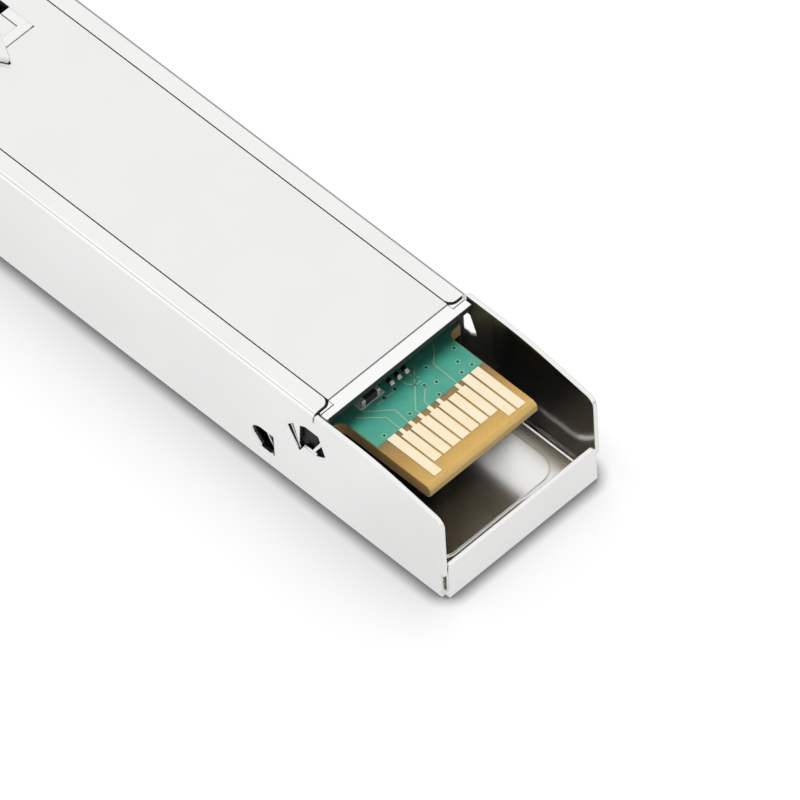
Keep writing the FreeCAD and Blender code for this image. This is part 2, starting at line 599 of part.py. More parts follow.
def make_base_casting():
    panel_half = flange_edge - d.seam_gap
    panel_end = opening - d.bar_length
    bar_top = top - d.bar_step
    bar_half = half - d.sheet_gauge - d.bar_end_gap
    bar_out = flange_end + d.bar_notch
    rail_foot = d.sheet_gauge + d.fit_gap
    bar_ends = box("casting_bar_ends", (bar_out, opening), (-bar_half, bar_half), (roof_bottom, bar_top))
    bar_ends = round_edges(
        "casting_bar_rounds", bar_ends, d.bar_round,
        lambda edge: near(abs(edge.CenterOfMass.y), bar_half)
        and (near(edge.CenterOfMass.z, bar_top) or near(edge.CenterOfMass.x, opening)))
    wrapped = [
        box("casting_bulkhead", (stop_face, d.bulkhead_back), (-inside_half, inside_half),
            (rail_foot, under_flange)),
        box("casting_roof", (stop_face, bar_out), (-inside_half, inside_half), (roof_bottom, under_flange)),
    ]
    for number, span in enumerate(mirrored_pair(rail_half, inside_half)):
        wrapped.append(box(f"casting_rail_{number}", (d.bulkhead_back, rail_end), span,
                           (rail_foot, roof_bottom)))
    corner = d.bend_radius - d.fit_gap
    envelope = prism("casting_envelope", "YZ", [
        (-inside_half, rail_foot, corner),
        (inside_half, rail_foot, corner),
        (inside_half, under_flange, corner),
        (-inside_half, under_flange, corner),
    ], stop_face, bar_out)
    body = [
        common("casting_wrapped", fuse("casting_box", *wrapped), envelope),
        box("casting_nose", (nose_front, stop_face), (-nose_half, nose_half), (0, top + d.nose_rise)),
        box("casting_stop", (stop_face - d.stop_thickness, stop_face),
            (-half - d.stop_lip, half + d.stop_lip), (d.stop_margin, top - d.stop_margin)),
        box("casting_panel", (stop_face, panel_end), (-panel_half, panel_half), (roof_bottom, top)),
        box("casting_bar", (panel_end, opening), (-panel_half, panel_half), (roof_bottom, bar_top)),
        bar_ends,
        box("casting_sink", (stop_face, housing_front), pin_span,
            (axis_z + d.collar_radius + d.can_relief, roof_bottom)),
        box("casting_saddle", saddle_span, (-rail_half, rail_half), (axis_z, roof_bottom)),
    ]
    for number, span in enumerate(mirrored_pair(rail_half - d.ledge_width, rail_half)):
        body.append(box(f"casting_ledge_{number}", (d.board_front, rail_end), span,
                        (board_top, roof_bottom)))
    solid = fuse("casting_body", *body)

    notch_point = d.boss_length + d.boss_gap
    notch_half = d.boss_width / 2 * (notch_point / d.boss_length)
    tools = [
        box("casting_nose_recess", (nose_front - OVERSHOOT, stop_face), (-recess_half, recess_half),
            (nose_floor, top + OVERSHOOT)),
        prism("casting_lever_recess", "XZ", [
            (stop_face - OVERSHOOT, sink_floor),
            (d.recess_rear - d.recess_slope, sink_floor),
            (d.recess_rear, top),
            (d.recess_rear, top + OVERSHOOT),
            (stop_face - OVERSHOOT, top + OVERSHOOT),
        ], -recess_half, recess_half),
        prism("casting_boss_notch", "XY", [(0, -notch_half), (notch_point, 0), (0, notch_half)],
              sink_floor, top + OVERSHOOT),
        box("casting_shaft_slot", (shaft_x - shaft_bore, shaft_x + shaft_bore), through_nose,
            (shaft_z, top + OVERSHOOT)),
        rod("casting_shaft_seat", "y", shaft_bore, through_nose, x=shaft_x, z=shaft_z),
        rod("casting_pin_hole", "y", d.pin_radius, pin_span, x=pivot_x, z=pivot_z),
        box("casting_lip_relief", (opening - d.lip_length, opening + OVERSHOOT), (-half, half),
            (roof_bottom - OVERSHOOT, bar_top - d.lip_thickness)),
    ]
    for name, y in axis_y.items():
        tools += port_tools(name, y)
        tools.append(rod(f"casting_{name}_hole", "x", d.barrel_radius + d.barrel_gap,
                         (port_back - OVERSHOOT, d.bulkhead_back + OVERSHOOT), y=y, z=axis_z))
        tools.append(rod(f"casting_{name}_saddle", "x", saddle_radius, (neck_front, neck_back),
                         y=y, z=axis_z))
        tools.append(rod(f"casting_{name}_relief", "x", d.header_radius + d.can_relief, (neck_back, flex_x),
                         y=y, z=axis_z))
    margin = d.rail_window_margin
    for number, span in enumerate(mirrored_pair(rail_half - OVERSHOOT, half)):
        tools.append(box(f"casting_rail_window_{number}", (leaf_start - margin, leaf_end + margin), span,
                         (d.leaf_bottom - margin, leaf_top + margin)))
    return cut("base_casting", solid, *tools)


def port_tools(name, y):
    """Square port, latch slot and hook pocket of one connector port."""
    slot_half = d.port_slot_width / 2
    hook_half = port_half - d.port_hook_margin
    slot_end = nose_front + d.port_slot_length
    slot_span = (port_bottom - d.port_slot_depth, axis_z)
    mouth = nose_front - OVERSHOOT
    return [
        box(f"port_{name}", (mouth, port_back), (y - port_half, y + port_half), (port_bottom, port_top)),
        box(f"port_{name}_slot", (mouth, slot_end), (y - slot_half, y + slot_half), slot_span),
        box(f"port_{name}_hook", (slot_end, slot_end + d.port_hook_length), (y - hook_half, y + hook_half),
            slot_span),
    ]


def make_latch_lever():
    wide = recess_half - d.lever_side_gap
    narrow = d.cam_width / 2 - d.toe_gap
    toe_bottom = shaft_z - cam_drop + d.cam_radius + d.cam_gap
    boss_half = d.boss_width / 2
    arms = fuse(
        "lever_blank",
        box("lever_front_arm", (nose_front + d.lever_front_gap, pivot_x), (-narrow, narrow),
            (toe_bottom, toe_bottom + d.lever_toe)),
        rod("lever_hub", "y", d.hub_radius, (-wide, wide), x=pivot_x, z=pivot_z),
        box("lever_rear_arm", (pivot_x, d.lever_reach), (-wide, wide), (pivot_z, pivot_z + d.lever_arm)),
        prism("lever_boss", "XY", [
            (0, -boss_half, d.boss_round),
            (d.boss_length, 0, d.boss_round),
            (0, boss_half, d.boss_round),
        ], pivot_z + d.boss_root, top + d.boss_height),
    )
    hole = rod("lever_pin_hole", "y", d.pin_radius + d.pin_gap, (-half, half), x=pivot_x, z=pivot_z)
    return cut("latch_lever", arms, hole)


def make_lever_pin():
    return rod("lever_pin", "y", d.pin_radius, pin_span, x=pivot_x, z=pivot_z)


def make_latch_spring():
    foot_start = stop_face + d.fit_gap
    foot_end = foot_start + d.spring_foot
    tip = pivot_z - d.spring_gap
    return prism("latch_spring", "XZ", [
        (foot_start, sink_floor),
        (foot_end, sink_floor),
        (d.lever_reach, tip - d.spring_gauge),
        (d.lever_reach, tip),
        (foot_end - d.spring_gauge / 2, sink_floor + d.spring_gauge),
        (foot_start, sink_floor + d.spring_gauge),
    ], -d.spring_width / 2, d.spring_width / 2)


def make_bail():
    leg_inside = nose_half + d.bail_gap
    leg_outside = leg_inside + d.bail_leg
    head = d.bail_head / 2
    head_round = head - d.shaft_gap
    bar_back = nose_front - d.bail_bar_gap
    bar_front = bar_back - d.bail_bar_depth
    bar_top = d.bail_bar_lift + d.bail_bar_height
    leg_shape = [
        (shaft_x + head, shaft_z + head, head_round),
        (shaft_x - head, shaft_z + head, head_round),
        (bar_front, d.bail_knee, d.bail_corner),
        (bar_front, d.bail_bar_lift, d.bail_corner),
        (bar_back, d.bail_bar_lift),
        (bar_back, bar_top),
        (shaft_x + head, shaft_z - head, d.bail_corner),
    ]
    pieces = [
        rod("bail_cam", "y", d.cam_radius, (-d.cam_width / 2, d.cam_width / 2),
            x=shaft_x - cam_drop, z=shaft_z - cam_drop),
        prism("bail_bar", "XZ", [
            (bar_front, d.bail_bar_lift, d.bail_corner),
            (bar_back, d.bail_bar_lift),
            (bar_back, bar_top),
            (bar_front, bar_top, d.bail_corner),
        ], -leg_outside, leg_outside),
    ]
    for number, span in enumerate(mirrored_pair(leg_inside, leg_outside)):
        pieces.append(prism(f"bail_leg_{number}", "XZ", leg_shape, *span))
    for number, span in enumerate(mirrored_pair(d.cam_width / 2, leg_outside)):
        pieces.append(rod(f"bail_shaft_{number}", "y", d.shaft_radius, span, x=shaft_x, z=shaft_z))
    return fuse("bail", *pieces)


def make_circuit_board():
    wide = rail_half - d.board_gap
    tongue = d.tongue_width / 2
    shoulder = opening - d.shoulder_setback
    body = prism("circuit_board", "XY", [
        (d.board_front, -wide),
        (shoulder, -wide),
        (shoulder, -tongue, d.shoulder_fillet),
        (board_end, -tongue),
        (board_end, tongue),
        (shoulder, tongue, d.shoulder_fillet),
        (shoulder, wide),
        (d.board_front, wide),
    ], board_bottom, board_top)
    doc.recompute()
    pad = body.Tip
    edges = [f"Edge{number}" for number, edge in enumerate(pad.Shape.Edges, start=1)
             if near(edge.CenterOfMass.x, board_end) and runs_along(edge, "y")]
    bevel = body.newObject("PartDesign::Chamfer", "board_end_bevel")
    bevel.Base = (pad, edges)
    bind(bevel, "Size", d.board_bevel)
    return body


def make_contacts(name, order, shift, z):
    """One row of ten host contacts; order gives each one's length."""
    long_end = board_end - d.contact_margin
    long_start = long_end - d.long_contact
    spans = {
        "L": (long_start, long_end),
        "M": (long_end - d.short_setback / 2 - d.mid_contact, long_end - d.short_setback / 2),
        "S": (long_end - d.short_setback - d.short_contact, long_end - d.short_setback),
    }
    pads = []
    for number, kind in enumerate(order):
        y = shift + d.contact_pitch * (number - (len(order) - 1) / 2)
        side = (y - d.contact_width / 2, y + d.contact_width / 2)
        pad = box(f"{name}_{number}", spans[kind], side, z)
        if kind != "L" and number != CONTACT_WITHOUT_STUB:
            stub_side = (y - d.stub_width / 2, y + d.stub_width / 2)
            stub = box(f"{name}_{number}_stub", (long_start, spans[kind][0]), stub_side, z)
            pad = fuse(f"{name}_{number}_with_stub", pad, stub)
        pads.append(pad)
    return group(name, *pads)


def chip(name, x, y, size, z):
    """A block centred on y that starts at x; size is its length and width."""
    return box(name, (x, x + size[0]), (y - size[1] / 2, y + size[1] / 2), z)


def make_chips():
    driver_x = d.board_front + d.driver_front
    driver_size = (d.driver_size, d.driver_size)
    nodes["driver_chip"] = chip("driver_chip", driver_x, 0, driver_size, (board_top, driver_top))
    nodes["thermal_pad"] = chip("thermal_pad", driver_x, 0, driver_size, (driver_top, roof_bottom))
    nodes["controller_chip"] = chip(
        "controller_chip", d.board_front + d.controller_front, 0, (d.controller_size, d.controller_size),
        (board_bottom - d.controller_height, board_bottom))


def make_passives():
    resistor = (d.resistor_length, d.resistor_width)
    resistor_x = opening - d.resistor_setback
    resistor_z = (board_top, board_top + d.resistor_height)
    nodes["chip_resistors"] = group("chip_resistors", *[
        chip(f"resistor_{number}", resistor_x, d.contact_shift + d.resistor_pitch * (number - 1), resistor,
             resistor_z) for number in range(3)])
    capacitor_x = resistor_x - (d.capacitor_width - d.resistor_length)
    capacitor_z = (board_top, board_top + d.capacitor_height)
    lying = (d.capacitor_width, d.capacitor_length)
    away = d.tongue_width / 2 - d.capacitor_length
    nodes["chip_capacitors"] = group(
        "chip_capacitors",
        chip("capacitor_near", capacitor_x, -away + d.capacitor_width, lying, capacitor_z),
        chip("capacitor_inner", capacitor_x - d.capacitor_width * 2, away, lying, capacitor_z),
        chip("capacitor_middle", capacitor_x - d.capacitor_width * 2, 0, lying, capacitor_z))
    inductor = (d.inductor_size, d.inductor_size)
    inductor_z = (board_bottom - d.inductor_height, board_bottom)
    inductor_x = d.board_front + d.inductor_front
    nodes["chip_inductors"] = group("chip_inductors", *[
        chip(f"inductor_{number}", inductor_x, side * d.inductor_size, inductor, inductor_z)
        for number, side in enumerate((-1, 1))])


def make_optics(name, y):
    """Barrel, ferrule sleeve, can and flexible circuit on one optical axis."""
    tip = port_back - d.barrel_reach
    sleeve_start = tip + d.barrel_lip
    sleeve_end = sleeve_start + d.sleeve_length
    lip_bore = (d.sleeve_bore + d.sleeve_radius) / 2
    cap_front = housing_back - d.cap_length
    socket_front = cap_front - d.cap_gap
    socket_radius = d.cap_radius + d.cap_gap
    housing_radius = socket_radius + d.housing_wall
    nodes[f"{name}_barrel"] = turned(f"{name}_barrel", [
        (tip, lip_bore),
        (sleeve_start, lip_bore),
        (sleeve_start, d.sleeve_radius),
        (sleeve_end, d.sleeve_radius),
        (sleeve_end, d.light_path),
        (socket_front, d.light_path),
        (socket_front, socket_radius),
        (housing_back, socket_radius),
        (housing_back, housing_radius),
        (housing_front, housing_radius),
        (housing_front, d.collar_radius),
        (neck_back, d.collar_radius),
        (neck_back, d.neck_radius),
        (neck_front, d.neck_radius),
        (neck_front, d.collar_radius),
        (collar_front, d.collar_radius),
        (collar_front, d.barrel_radius),
        (tip, d.barrel_radius),
    ], y, axis_z)
    nodes[f"{name}_sleeve"] = turned(f"{name}_sleeve", [
        (sleeve_start, d.sleeve_bore),
        (sleeve_end, d.sleeve_bore),
        (sleeve_end, d.sleeve_radius),
        (sleeve_start, d.sleeve_radius),
    ], y, axis_z)
    case = turned(f"{name}_case", [
        (cap_front, 0),
        (header_back, 0),
        (header_back, d.header_radius),
        (housing_back, d.header_radius),
        (housing_back, d.cap_radius),
        (cap_front, d.cap_radius),
    ], y, axis_z)
    leads = []
    for number in range(LEADS_PER_CAN):
        angle = 2 * math.pi * (number + 0.5) / LEADS_PER_CAN
        leads.append(rod(f"{name}_lead_{number}", "x", d.lead_radius, (header_back, flex_x),
                         y=y + d.lead_circle * math.cos(angle), z=axis_z + d.lead_circle * math.sin(angle)))
    nodes[f"{name}_can"] = fuse(f"{name}_can", case, *leads)
    flex_end = d.board_front + d.flex_land
    flex_top = board_top + d.flex_gauge
    nodes[f"{name}_flex"] = prism(f"{name}_flex", "XZ", [
        (flex_x, axis_z - d.flex_width / 2),
        (flex_x + d.flex_gauge, axis_z - d.flex_width / 2),
        (flex_x + d.flex_gauge, board_top),
        (flex_end, board_top),
        (flex_end, flex_top),
        (flex_x, flex_top),
    ], y - d.flex_width / 2, y + d.flex_width / 2)


def make_optics_clamp():
    clamp_half = rail_half - d.fit_gap
    plate = box("clamp_plate", saddle_span, (-clamp_half, clamp_half), (floor_top, axis_z - d.saddle_gap))
    seats = [rod(f"clamp_{name}_seat", "x", saddle_radius, (neck_front, neck_back), y=y, z=axis_z)
             for name, y in axis_y.items()]
    return cut("optics_clamp", plate, *seats)


def make_blank_label():
    span = (d.label_front + d.label_margin, rear - d.label_rear_margin - d.label_margin)
    shape = rounded_rectangle(span, d.label_width / 2 - d.label_margin, d.label_corner - d.label_margin)
    return prism("blank_label", "XY", shape, d.emboss_depth - d.label_thickness, d.emboss_depth)


nodes["outer_cover"] = make_outer_cover()
nodes["base_casting"] = make_base_casting()
nodes["blank_label"] = make_blank_label()
nodes["latch_lever"] = make_latch_lever()
nodes["lever_pin"] = make_lever_pin()
nodes["latch_spring"] = make_latch_spring()
nodes["bail"] = make_bail()
nodes["circuit_board"] = make_circuit_board()
nodes["host_contacts_latch_side"] = make_contacts(
    "host_contacts_latch_side", LATCH_SIDE_CONTACTS, d.contact_shift,
    (board_top, board_top + d.contact_thickness))
nodes["host_contacts_label_side"] = make_contacts(
    "host_contacts_label_side", LABEL_SIDE_CONTACTS, -d.contact_shift,
    (board_bottom - d.contact_thickness, board_bottom))
make_chips()
make_passives()
for optics_name, optics_y in axis_y.items():
    make_optics(optics_name, optics_y)
nodes["optics_clamp"] = make_optics_clamp()

doc.recompute()
for item in doc.Objects:
    if "Invalid" in item.State or "Error" in item.State:
        raise RuntimeError(f"{item.Name} did not compute: {item.State}")

os.makedirs("parts", exist_ok=True)
for label, piece in nodes.items():
    piece.Label = label
    if piece.Shape.isNull() or not piece.Shape.isValid() or not piece.Shape.Solids:
        raise RuntimeError(f"{label} has no valid solid")
    piece.Shape.exportStep(f"parts/{label}.step")
    print(f"{label}: {len(piece.Shape.Solids)} solid, {piece.Shape.Volume:.2f} mm3")
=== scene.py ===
# %% [markdown]
# This lesson dresses a pluggable optical transceiver, a small metal module that slides into a network
# switch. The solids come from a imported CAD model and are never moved. What is added here is what the eye
# needs: plating, laminate, solder mask, copper, small soldered parts, light and a camera.

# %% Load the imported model
import json
import math

import bmesh
import bpy
from mathutils import Matrix, Vector


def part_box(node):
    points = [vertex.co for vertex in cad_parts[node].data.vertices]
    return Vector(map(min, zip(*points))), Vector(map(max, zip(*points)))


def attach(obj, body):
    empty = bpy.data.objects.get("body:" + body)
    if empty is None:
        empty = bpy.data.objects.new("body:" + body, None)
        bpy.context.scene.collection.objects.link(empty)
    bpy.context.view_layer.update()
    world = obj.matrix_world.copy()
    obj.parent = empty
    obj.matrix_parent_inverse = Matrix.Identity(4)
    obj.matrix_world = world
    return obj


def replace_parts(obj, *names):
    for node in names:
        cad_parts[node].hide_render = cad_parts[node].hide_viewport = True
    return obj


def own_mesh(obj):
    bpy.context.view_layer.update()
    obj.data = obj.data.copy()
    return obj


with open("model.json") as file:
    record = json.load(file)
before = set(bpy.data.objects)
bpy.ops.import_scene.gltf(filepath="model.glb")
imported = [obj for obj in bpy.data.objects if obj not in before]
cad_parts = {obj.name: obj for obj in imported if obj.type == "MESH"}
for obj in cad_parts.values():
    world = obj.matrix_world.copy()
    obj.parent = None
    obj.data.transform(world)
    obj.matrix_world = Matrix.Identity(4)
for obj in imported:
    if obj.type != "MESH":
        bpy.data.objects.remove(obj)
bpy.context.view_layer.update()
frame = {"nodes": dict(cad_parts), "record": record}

MM = 0.001
scene = bpy.context.scene
nodes = frame["nodes"]
cover_low, cover_high = [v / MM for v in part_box("outer_cover")]
casting_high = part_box("base_casting")[1] / MM
board_low, board_high = [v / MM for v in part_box("circuit_board")]
contacts_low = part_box("host_contacts_latch_side")[0] / MM

# %% [markdown]
# A few small helpers do the repeated work. Colours are written the way a paint chart or a web page gives
# them, as sRGB hex values, and Blender's shaders want linear light, so one function converts them. A second
# one gives a node its inputs, whether they are numbers, colours or links from another node, and a third adds
# a node. A material starts from the Principled shader with its fixed values set. Short names stand for the
# kinds of node that are used most.

# %% Colour and node helpers
MATH = "ShaderNodeMath"
MIX = "ShaderNodeMix"
SPREAD = "ShaderNodeMapRange"
SPLIT = "ShaderNodeSeparateXYZ"
NOISE = "ShaderNodeTexNoise"
BUMP = "ShaderNodeBump"


def linear(code):
    """A linear RGBA colour from an sRGB hex value such as #C8A55A."""
    parts = [int(code[i:i + 2], 16) / 255 for i in (1, 3, 5)]
    return tuple(p / 12.92 if p <= 0.04045 else ((p + 0.055) / 1.055) ** 2.4 for p in parts) + (1.0,)


def feed(node, inputs):
    """Set a node's inputs: a number, a hex colour, a socket, or a node for its first output in use."""
    for key, value in inputs.items():
        if isinstance(value, bpy.types.Node):
            value = next(output for output in value.outputs if output.enabled)
        if isinstance(value, bpy.types.NodeSocket):
            node.id_data.links.new(value, node.inputs[key])
        else:
            node.inputs[key].default_value = linear(value) if isinstance(value, str) else value
    return node


def add_node(tree, kind, inputs=None, **settings):
    """Add a node, set its properties and feed its inputs."""
    node = tree.nodes.new(kind)
    for name, value in settings.items():
        setattr(node, name, value)
    return feed(node, inputs or {})


def start_material(name, **sockets):
    """A material whose Principled shader has these sockets set; an underscore stands for a space."""
    material = bpy.data.materials.new(name)
    material.use_nodes = True
    shader = material.node_tree.nodes["Principled BSDF"]
    feed(shader, {key.replace("_", " "): value for key, value in sockets.items()})
    return material, material.node_tree, shader


print("grey #808080 is", round(linear("#808080")[0], 3), "in linear light")

# %% [markdown]
# The camera stands where the photographer stood: to the right of the module's host end, well above it, with
# a long lens, so parallel edges stay nearly parallel. The scale in pixels for each millimetre, the aim point
# and a small roll were found by matching the module's corners. One function adds every new object.

# %% Camera
VIEW_AZIMUTH = 47.93
VIEW_ELEVATION = 51.50
VIEW_ROLL = -3.53
VIEW_DISTANCE = 1.0
PICTURE_PIXELS = 800
PIXELS_PER_MM = 16.309
SENSOR = 36.0
aim = Vector((cover_high.x - 11.66, 1.02, 2.57)) * MM


def add_object(name, data):
    """An object with its data, linked to the scene."""
    made = bpy.data.objects.new(name, data)
    scene.collection.objects.link(made)
    return made


def make_camera():
    turn, rise = math.radians(VIEW_AZIMUTH), math.radians(VIEW_ELEVATION)
    back = Vector((math.sin(turn) * math.cos(rise), -math.cos(turn) * math.cos(rise), math.sin(rise)))
    level = Vector((math.cos(turn), math.sin(turn), 0))
    right = Matrix.Rotation(math.radians(VIEW_ROLL), 3, back) @ level
    up = back.cross(right)
    data = bpy.data.cameras.new("photo_camera")
    data.sensor_width = SENSOR
    data.lens = PIXELS_PER_MM / MM * VIEW_DISTANCE * SENSOR / PICTURE_PIXELS
    data.clip_end = 10
    camera = add_object("photo_camera", data)
    axes = Matrix((right, up, back)).transposed()
    camera.matrix_world = Matrix.Translation(aim + back * VIEW_DISTANCE) @ axes.to_4x4()
    scene.camera = camera
    return camera


camera = make_camera()
print("lens in mm:", round(camera.data.lens, 1))

# %% [markdown]
# The picture is a product shot on white. A broad matt card carries the soft shadow. A card that is only lit
# can't be white and keep a light shadow too, so part of its white is a glow that the camera and mirror-like
# surfaces see, a little dimmer towards the host end. Close to the module the card is darker, where little
# light gets in: the ambient occlusion node measures that over one millimetre and over ten, for what the
# camera sees of the card itself.

# %% Floor
FLOOR_SIZE = 4.0
CARD_COLOUR = "#E4E4E4"
SEEN_COLOUR = "#606060"
MIRRORED_COLOUR = "#484848"
SEEN_GLOW = 0.92
MIRRORED_GLOW = (0.87, 0.80)
DIMMER = (0.036, 0.043)
SHADOWS = ((1.05 * MM, 1.9), (10.0 * MM, 0.36))
DEEPEST_SHADOW = 0.2
SHADOW_END = (0.008, 0.0105)


def seen_directly(tree):
    """1 for rays that show the surroundings, from the camera or by mirror and glass, before a matt bounce."""
    path = add_node(tree, "ShaderNodeLightPath")
    shows = path.outputs["Is Camera Ray"]
    for kind in ("Is Glossy Ray", "Is Transmission Ray"):
        shows = add_node(tree, MATH, {0: shows, 1: path.outputs[kind]}, operation="MAXIMUM")
    first = add_node(tree, MATH, {0: path.outputs["Diffuse Depth"], 1: 0.5}, operation="LESS_THAN")
    return add_node(tree, MATH, {0: shows, 1: first}, operation="MULTIPLY")


def make_card(name, corners, material):
    """A flat four-cornered card of the studio, which is not part of the module."""
    mesh = bpy.data.meshes.new(name)
    mesh.from_pydata(corners, [], [(0, 1, 2, 3)])
    mesh.materials.append(material)
    card = add_object(name, mesh)
    return card


def make_floor_card():
    # Matt white card: no gloss, white to the edge of the picture, with a soft contact shadow.
    material, tree, shader = start_material("matt_white_card", Roughness=1.0, Specular_IOR_Level=0.0,
                                            Emission_Color="#FFFFFF")
    path = add_node(tree, "ShaderNodeLightPath")
    camera_ray = path.outputs["Is Camera Ray"]
    contact = camera_ray
    for reach, depth in SHADOWS:
        near = add_node(tree, "ShaderNodeAmbientOcclusion", {"Distance": reach}, samples=16)
        open_air = add_node(tree, MATH, {0: near.outputs["AO"], 1: depth}, operation="POWER")
        contact = add_node(tree, MATH, {0: contact, 1: open_air}, operation="MULTIPLY")
    contact = add_node(tree, MATH, {0: contact, 1: DEEPEST_SHADOW}, operation="MAXIMUM")
    place = add_node(tree, "ShaderNodeTexCoord").outputs["Object"]
    x, y, _ = add_node(tree, SPLIT, {0: place}).outputs
    near_side = add_node(tree, SPREAD, {0: y, 1: SHADOW_END[0], 2: SHADOW_END[1], 3: 1.0, 4: 0.0})
    near_side = add_node(tree, MATH, {0: near_side, 1: camera_ray}, operation="MULTIPLY")
    contact = add_node(tree, MIX, {0: near_side, 2: 1.0, 3: contact})
    glossy_ray = path.outputs["Is Glossy Ray"]
    mirrored = add_node(tree, MIX, {0: glossy_ray, 6: CARD_COLOUR, 7: MIRRORED_COLOUR}, data_type="RGBA")
    colour = add_node(tree, MIX, {0: camera_ray, 6: mirrored, 7: SEEN_COLOUR}, data_type="RGBA")
    shaded = add_node(tree, MIX, {0: contact, 6: "#000000", 7: colour}, data_type="RGBA")
    glow = add_node(tree, SPREAD,
                    {0: x, 1: DIMMER[0], 2: DIMMER[1], 3: MIRRORED_GLOW[0], 4: MIRRORED_GLOW[1]})
    glow = add_node(tree, MIX, {0: camera_ray, 2: glow, 3: SEEN_GLOW})
    for factor in (seen_directly(tree), contact):
        glow = add_node(tree, MATH, {0: glow, 1: factor}, operation="MULTIPLY")
    feed(shader, {"Base Color": shaded, "Emission Strength": glow})
    return material


half = FLOOR_SIZE / 2
make_card("floor", [(-half, -half, 0), (half, -half, 0), (half, half, 0), (-half, half, 0)],
          make_floor_card())
print("floor:", FLOOR_SIZE, "m wide")

# %% [markdown]
# The studio around it is white wherever the camera or a mirror-like surface looks at it, and dimmer for the
# light that falls on matt surfaces. One soft lamp hangs overhead and a little to the far left, so that the
# shadow is short and falls to the near side, and the end bar shades the board behind it. Polished metal shows
# the studio and not the lamp. Photographers put cards beside shiny things, which only the mirrors see. Here a
# grey card slopes up at the far side and draws the thin grey line along the far bend, and a white panel hangs
# on the near side and draws the bright line along the near bend.

# %% World, lamp and cards
WORLD_FILL = 0.33
KEY_DIRECTION = (-0.16, 0.26, 0.92)
GREY_CARD = ((-0.45, 0.12), (0.016, 0.6), (0.0005, 0.13))
GREY_FADE = (0.016, 0.024)
GREY_TONES = ("#F4F4F4", "#A2A2A2")
WHITE_PANEL = ((-0.9, -0.08), (-1.6, -0.09), (0.5, 0.5))
WHITE_PANEL_GLOW = 1.14


def make_world():
    world = bpy.data.worlds.new("white_studio")
    world.use_nodes = True
    tree = world.node_tree
    tree.nodes.clear()
    fill = add_node(tree, "ShaderNodeBackground", {"Color": "#FFFFFF", "Strength": WORLD_FILL})
    white = add_node(tree, "ShaderNodeBackground", {"Color": "#FFFFFF", "Strength": 1.0})
    mixed = add_node(tree, "ShaderNodeMixShader", {0: seen_directly(tree), 1: fill, 2: white})
    add_node(tree, "ShaderNodeOutputWorld", {"Surface": mixed})
    scene.world = world


def make_lamp(name, direction, distance, size, power):
    """A square soft lamp that looks at the aim point from a direction."""
    data = bpy.data.lights.new(name, "AREA")
    data.size = size
    data.energy = power
    lamp = add_object(name, data)
    towards = Vector(direction).normalized()
    lamp.location = aim + towards * distance
    lamp.rotation_mode = "QUATERNION"
    lamp.rotation_quaternion = (-towards).to_track_quat("-Z", "Y")
    lamp.visible_glossy = False


def make_mirrored_card(name, spans, tones, fade, glow):
    """A card that only mirror-like surfaces see; its tone changes with the distance along y."""
    # Matt card with its own even glow, so that it shows the same tone in every mirror.
    material, tree, shader = start_material("matt_" + name, Base_Color="#000000", Roughness=1.0,
                                            Specular_IOR_Level=0.0)
    place = add_node(tree, "ShaderNodeTexCoord").outputs["Object"]
    away = add_node(tree, SPLIT, {0: place}).outputs["Y"]
    change = add_node(tree, SPREAD, {0: away, 1: fade[0], 2: fade[1]})
    tone = add_node(tree, MIX, {0: change, 6: tones[0], 7: tones[1]}, data_type="RGBA")
    strength = add_node(tree, MATH, {0: seen_directly(tree), 1: glow}, operation="MULTIPLY")
    feed(shader, {"Emission Color": tone, "Emission Strength": strength})
    (left, right), (near, far), (low, high) = spans
    corners = [(left, near, low), (right, near, low), (right, far, high), (left, far, high)]
    card = make_card(name, corners, material)
    for kind in ("camera", "diffuse", "transmission", "shadow", "volume_scatter"):
        setattr(card, "visible_" + kind, False)


make_world()
make_lamp("soft_key", KEY_DIRECTION, distance=0.5, size=0.24, power=2.0)
make_mirrored_card("grey_card", GREY_CARD, GREY_TONES, GREY_FADE, 1.0)
make_mirrored_card("white_panel", WHITE_PANEL, ("#FFFFFF", "#FFFFFF"), WHITE_PANEL[1], WHITE_PANEL_GLOW)
scene.view_settings.view_transform = "Standard"

# %% [markdown]
# Every pattern below is drawn in millimetres of the real part. Object coordinates are in metres, so this
# helper scales them once. A stretch draws a pattern out along an axis, as rolling does to sheet metal. No
# surface has one even colour, so a second helper lets two near tones change in soft clouds.

# %% Millimetre coordinates


def millimetres(tree, stretch=(1, 1, 1)):
    """Object coordinates in mm, divided by the stretch along each axis."""
    place = add_node(tree, "ShaderNodeTexCoord").outputs["Object"]
    factors = tuple(1 / MM / s for s in stretch)
    return add_node(tree, "ShaderNodeVectorMath", {0: place, 1: factors}, operation="MULTIPLY")


def clouded(tree, place, size, colours, detail=2.0, limits=(0.35, 0.65)):
    """Two colours that change in clouds of a size in mm."""
    clouds = add_node(tree, NOISE, {"Vector": place, "Scale": 1 / size, "Detail": detail})
    share = add_node(tree, SPREAD, {0: clouds, 1: limits[0], 2: limits[1]})
    return add_node(tree, MIX, {0: share, 6: colours[0], 7: colours[1]}, data_type="RGBA")


print("one unit of a pattern is 1 mm")
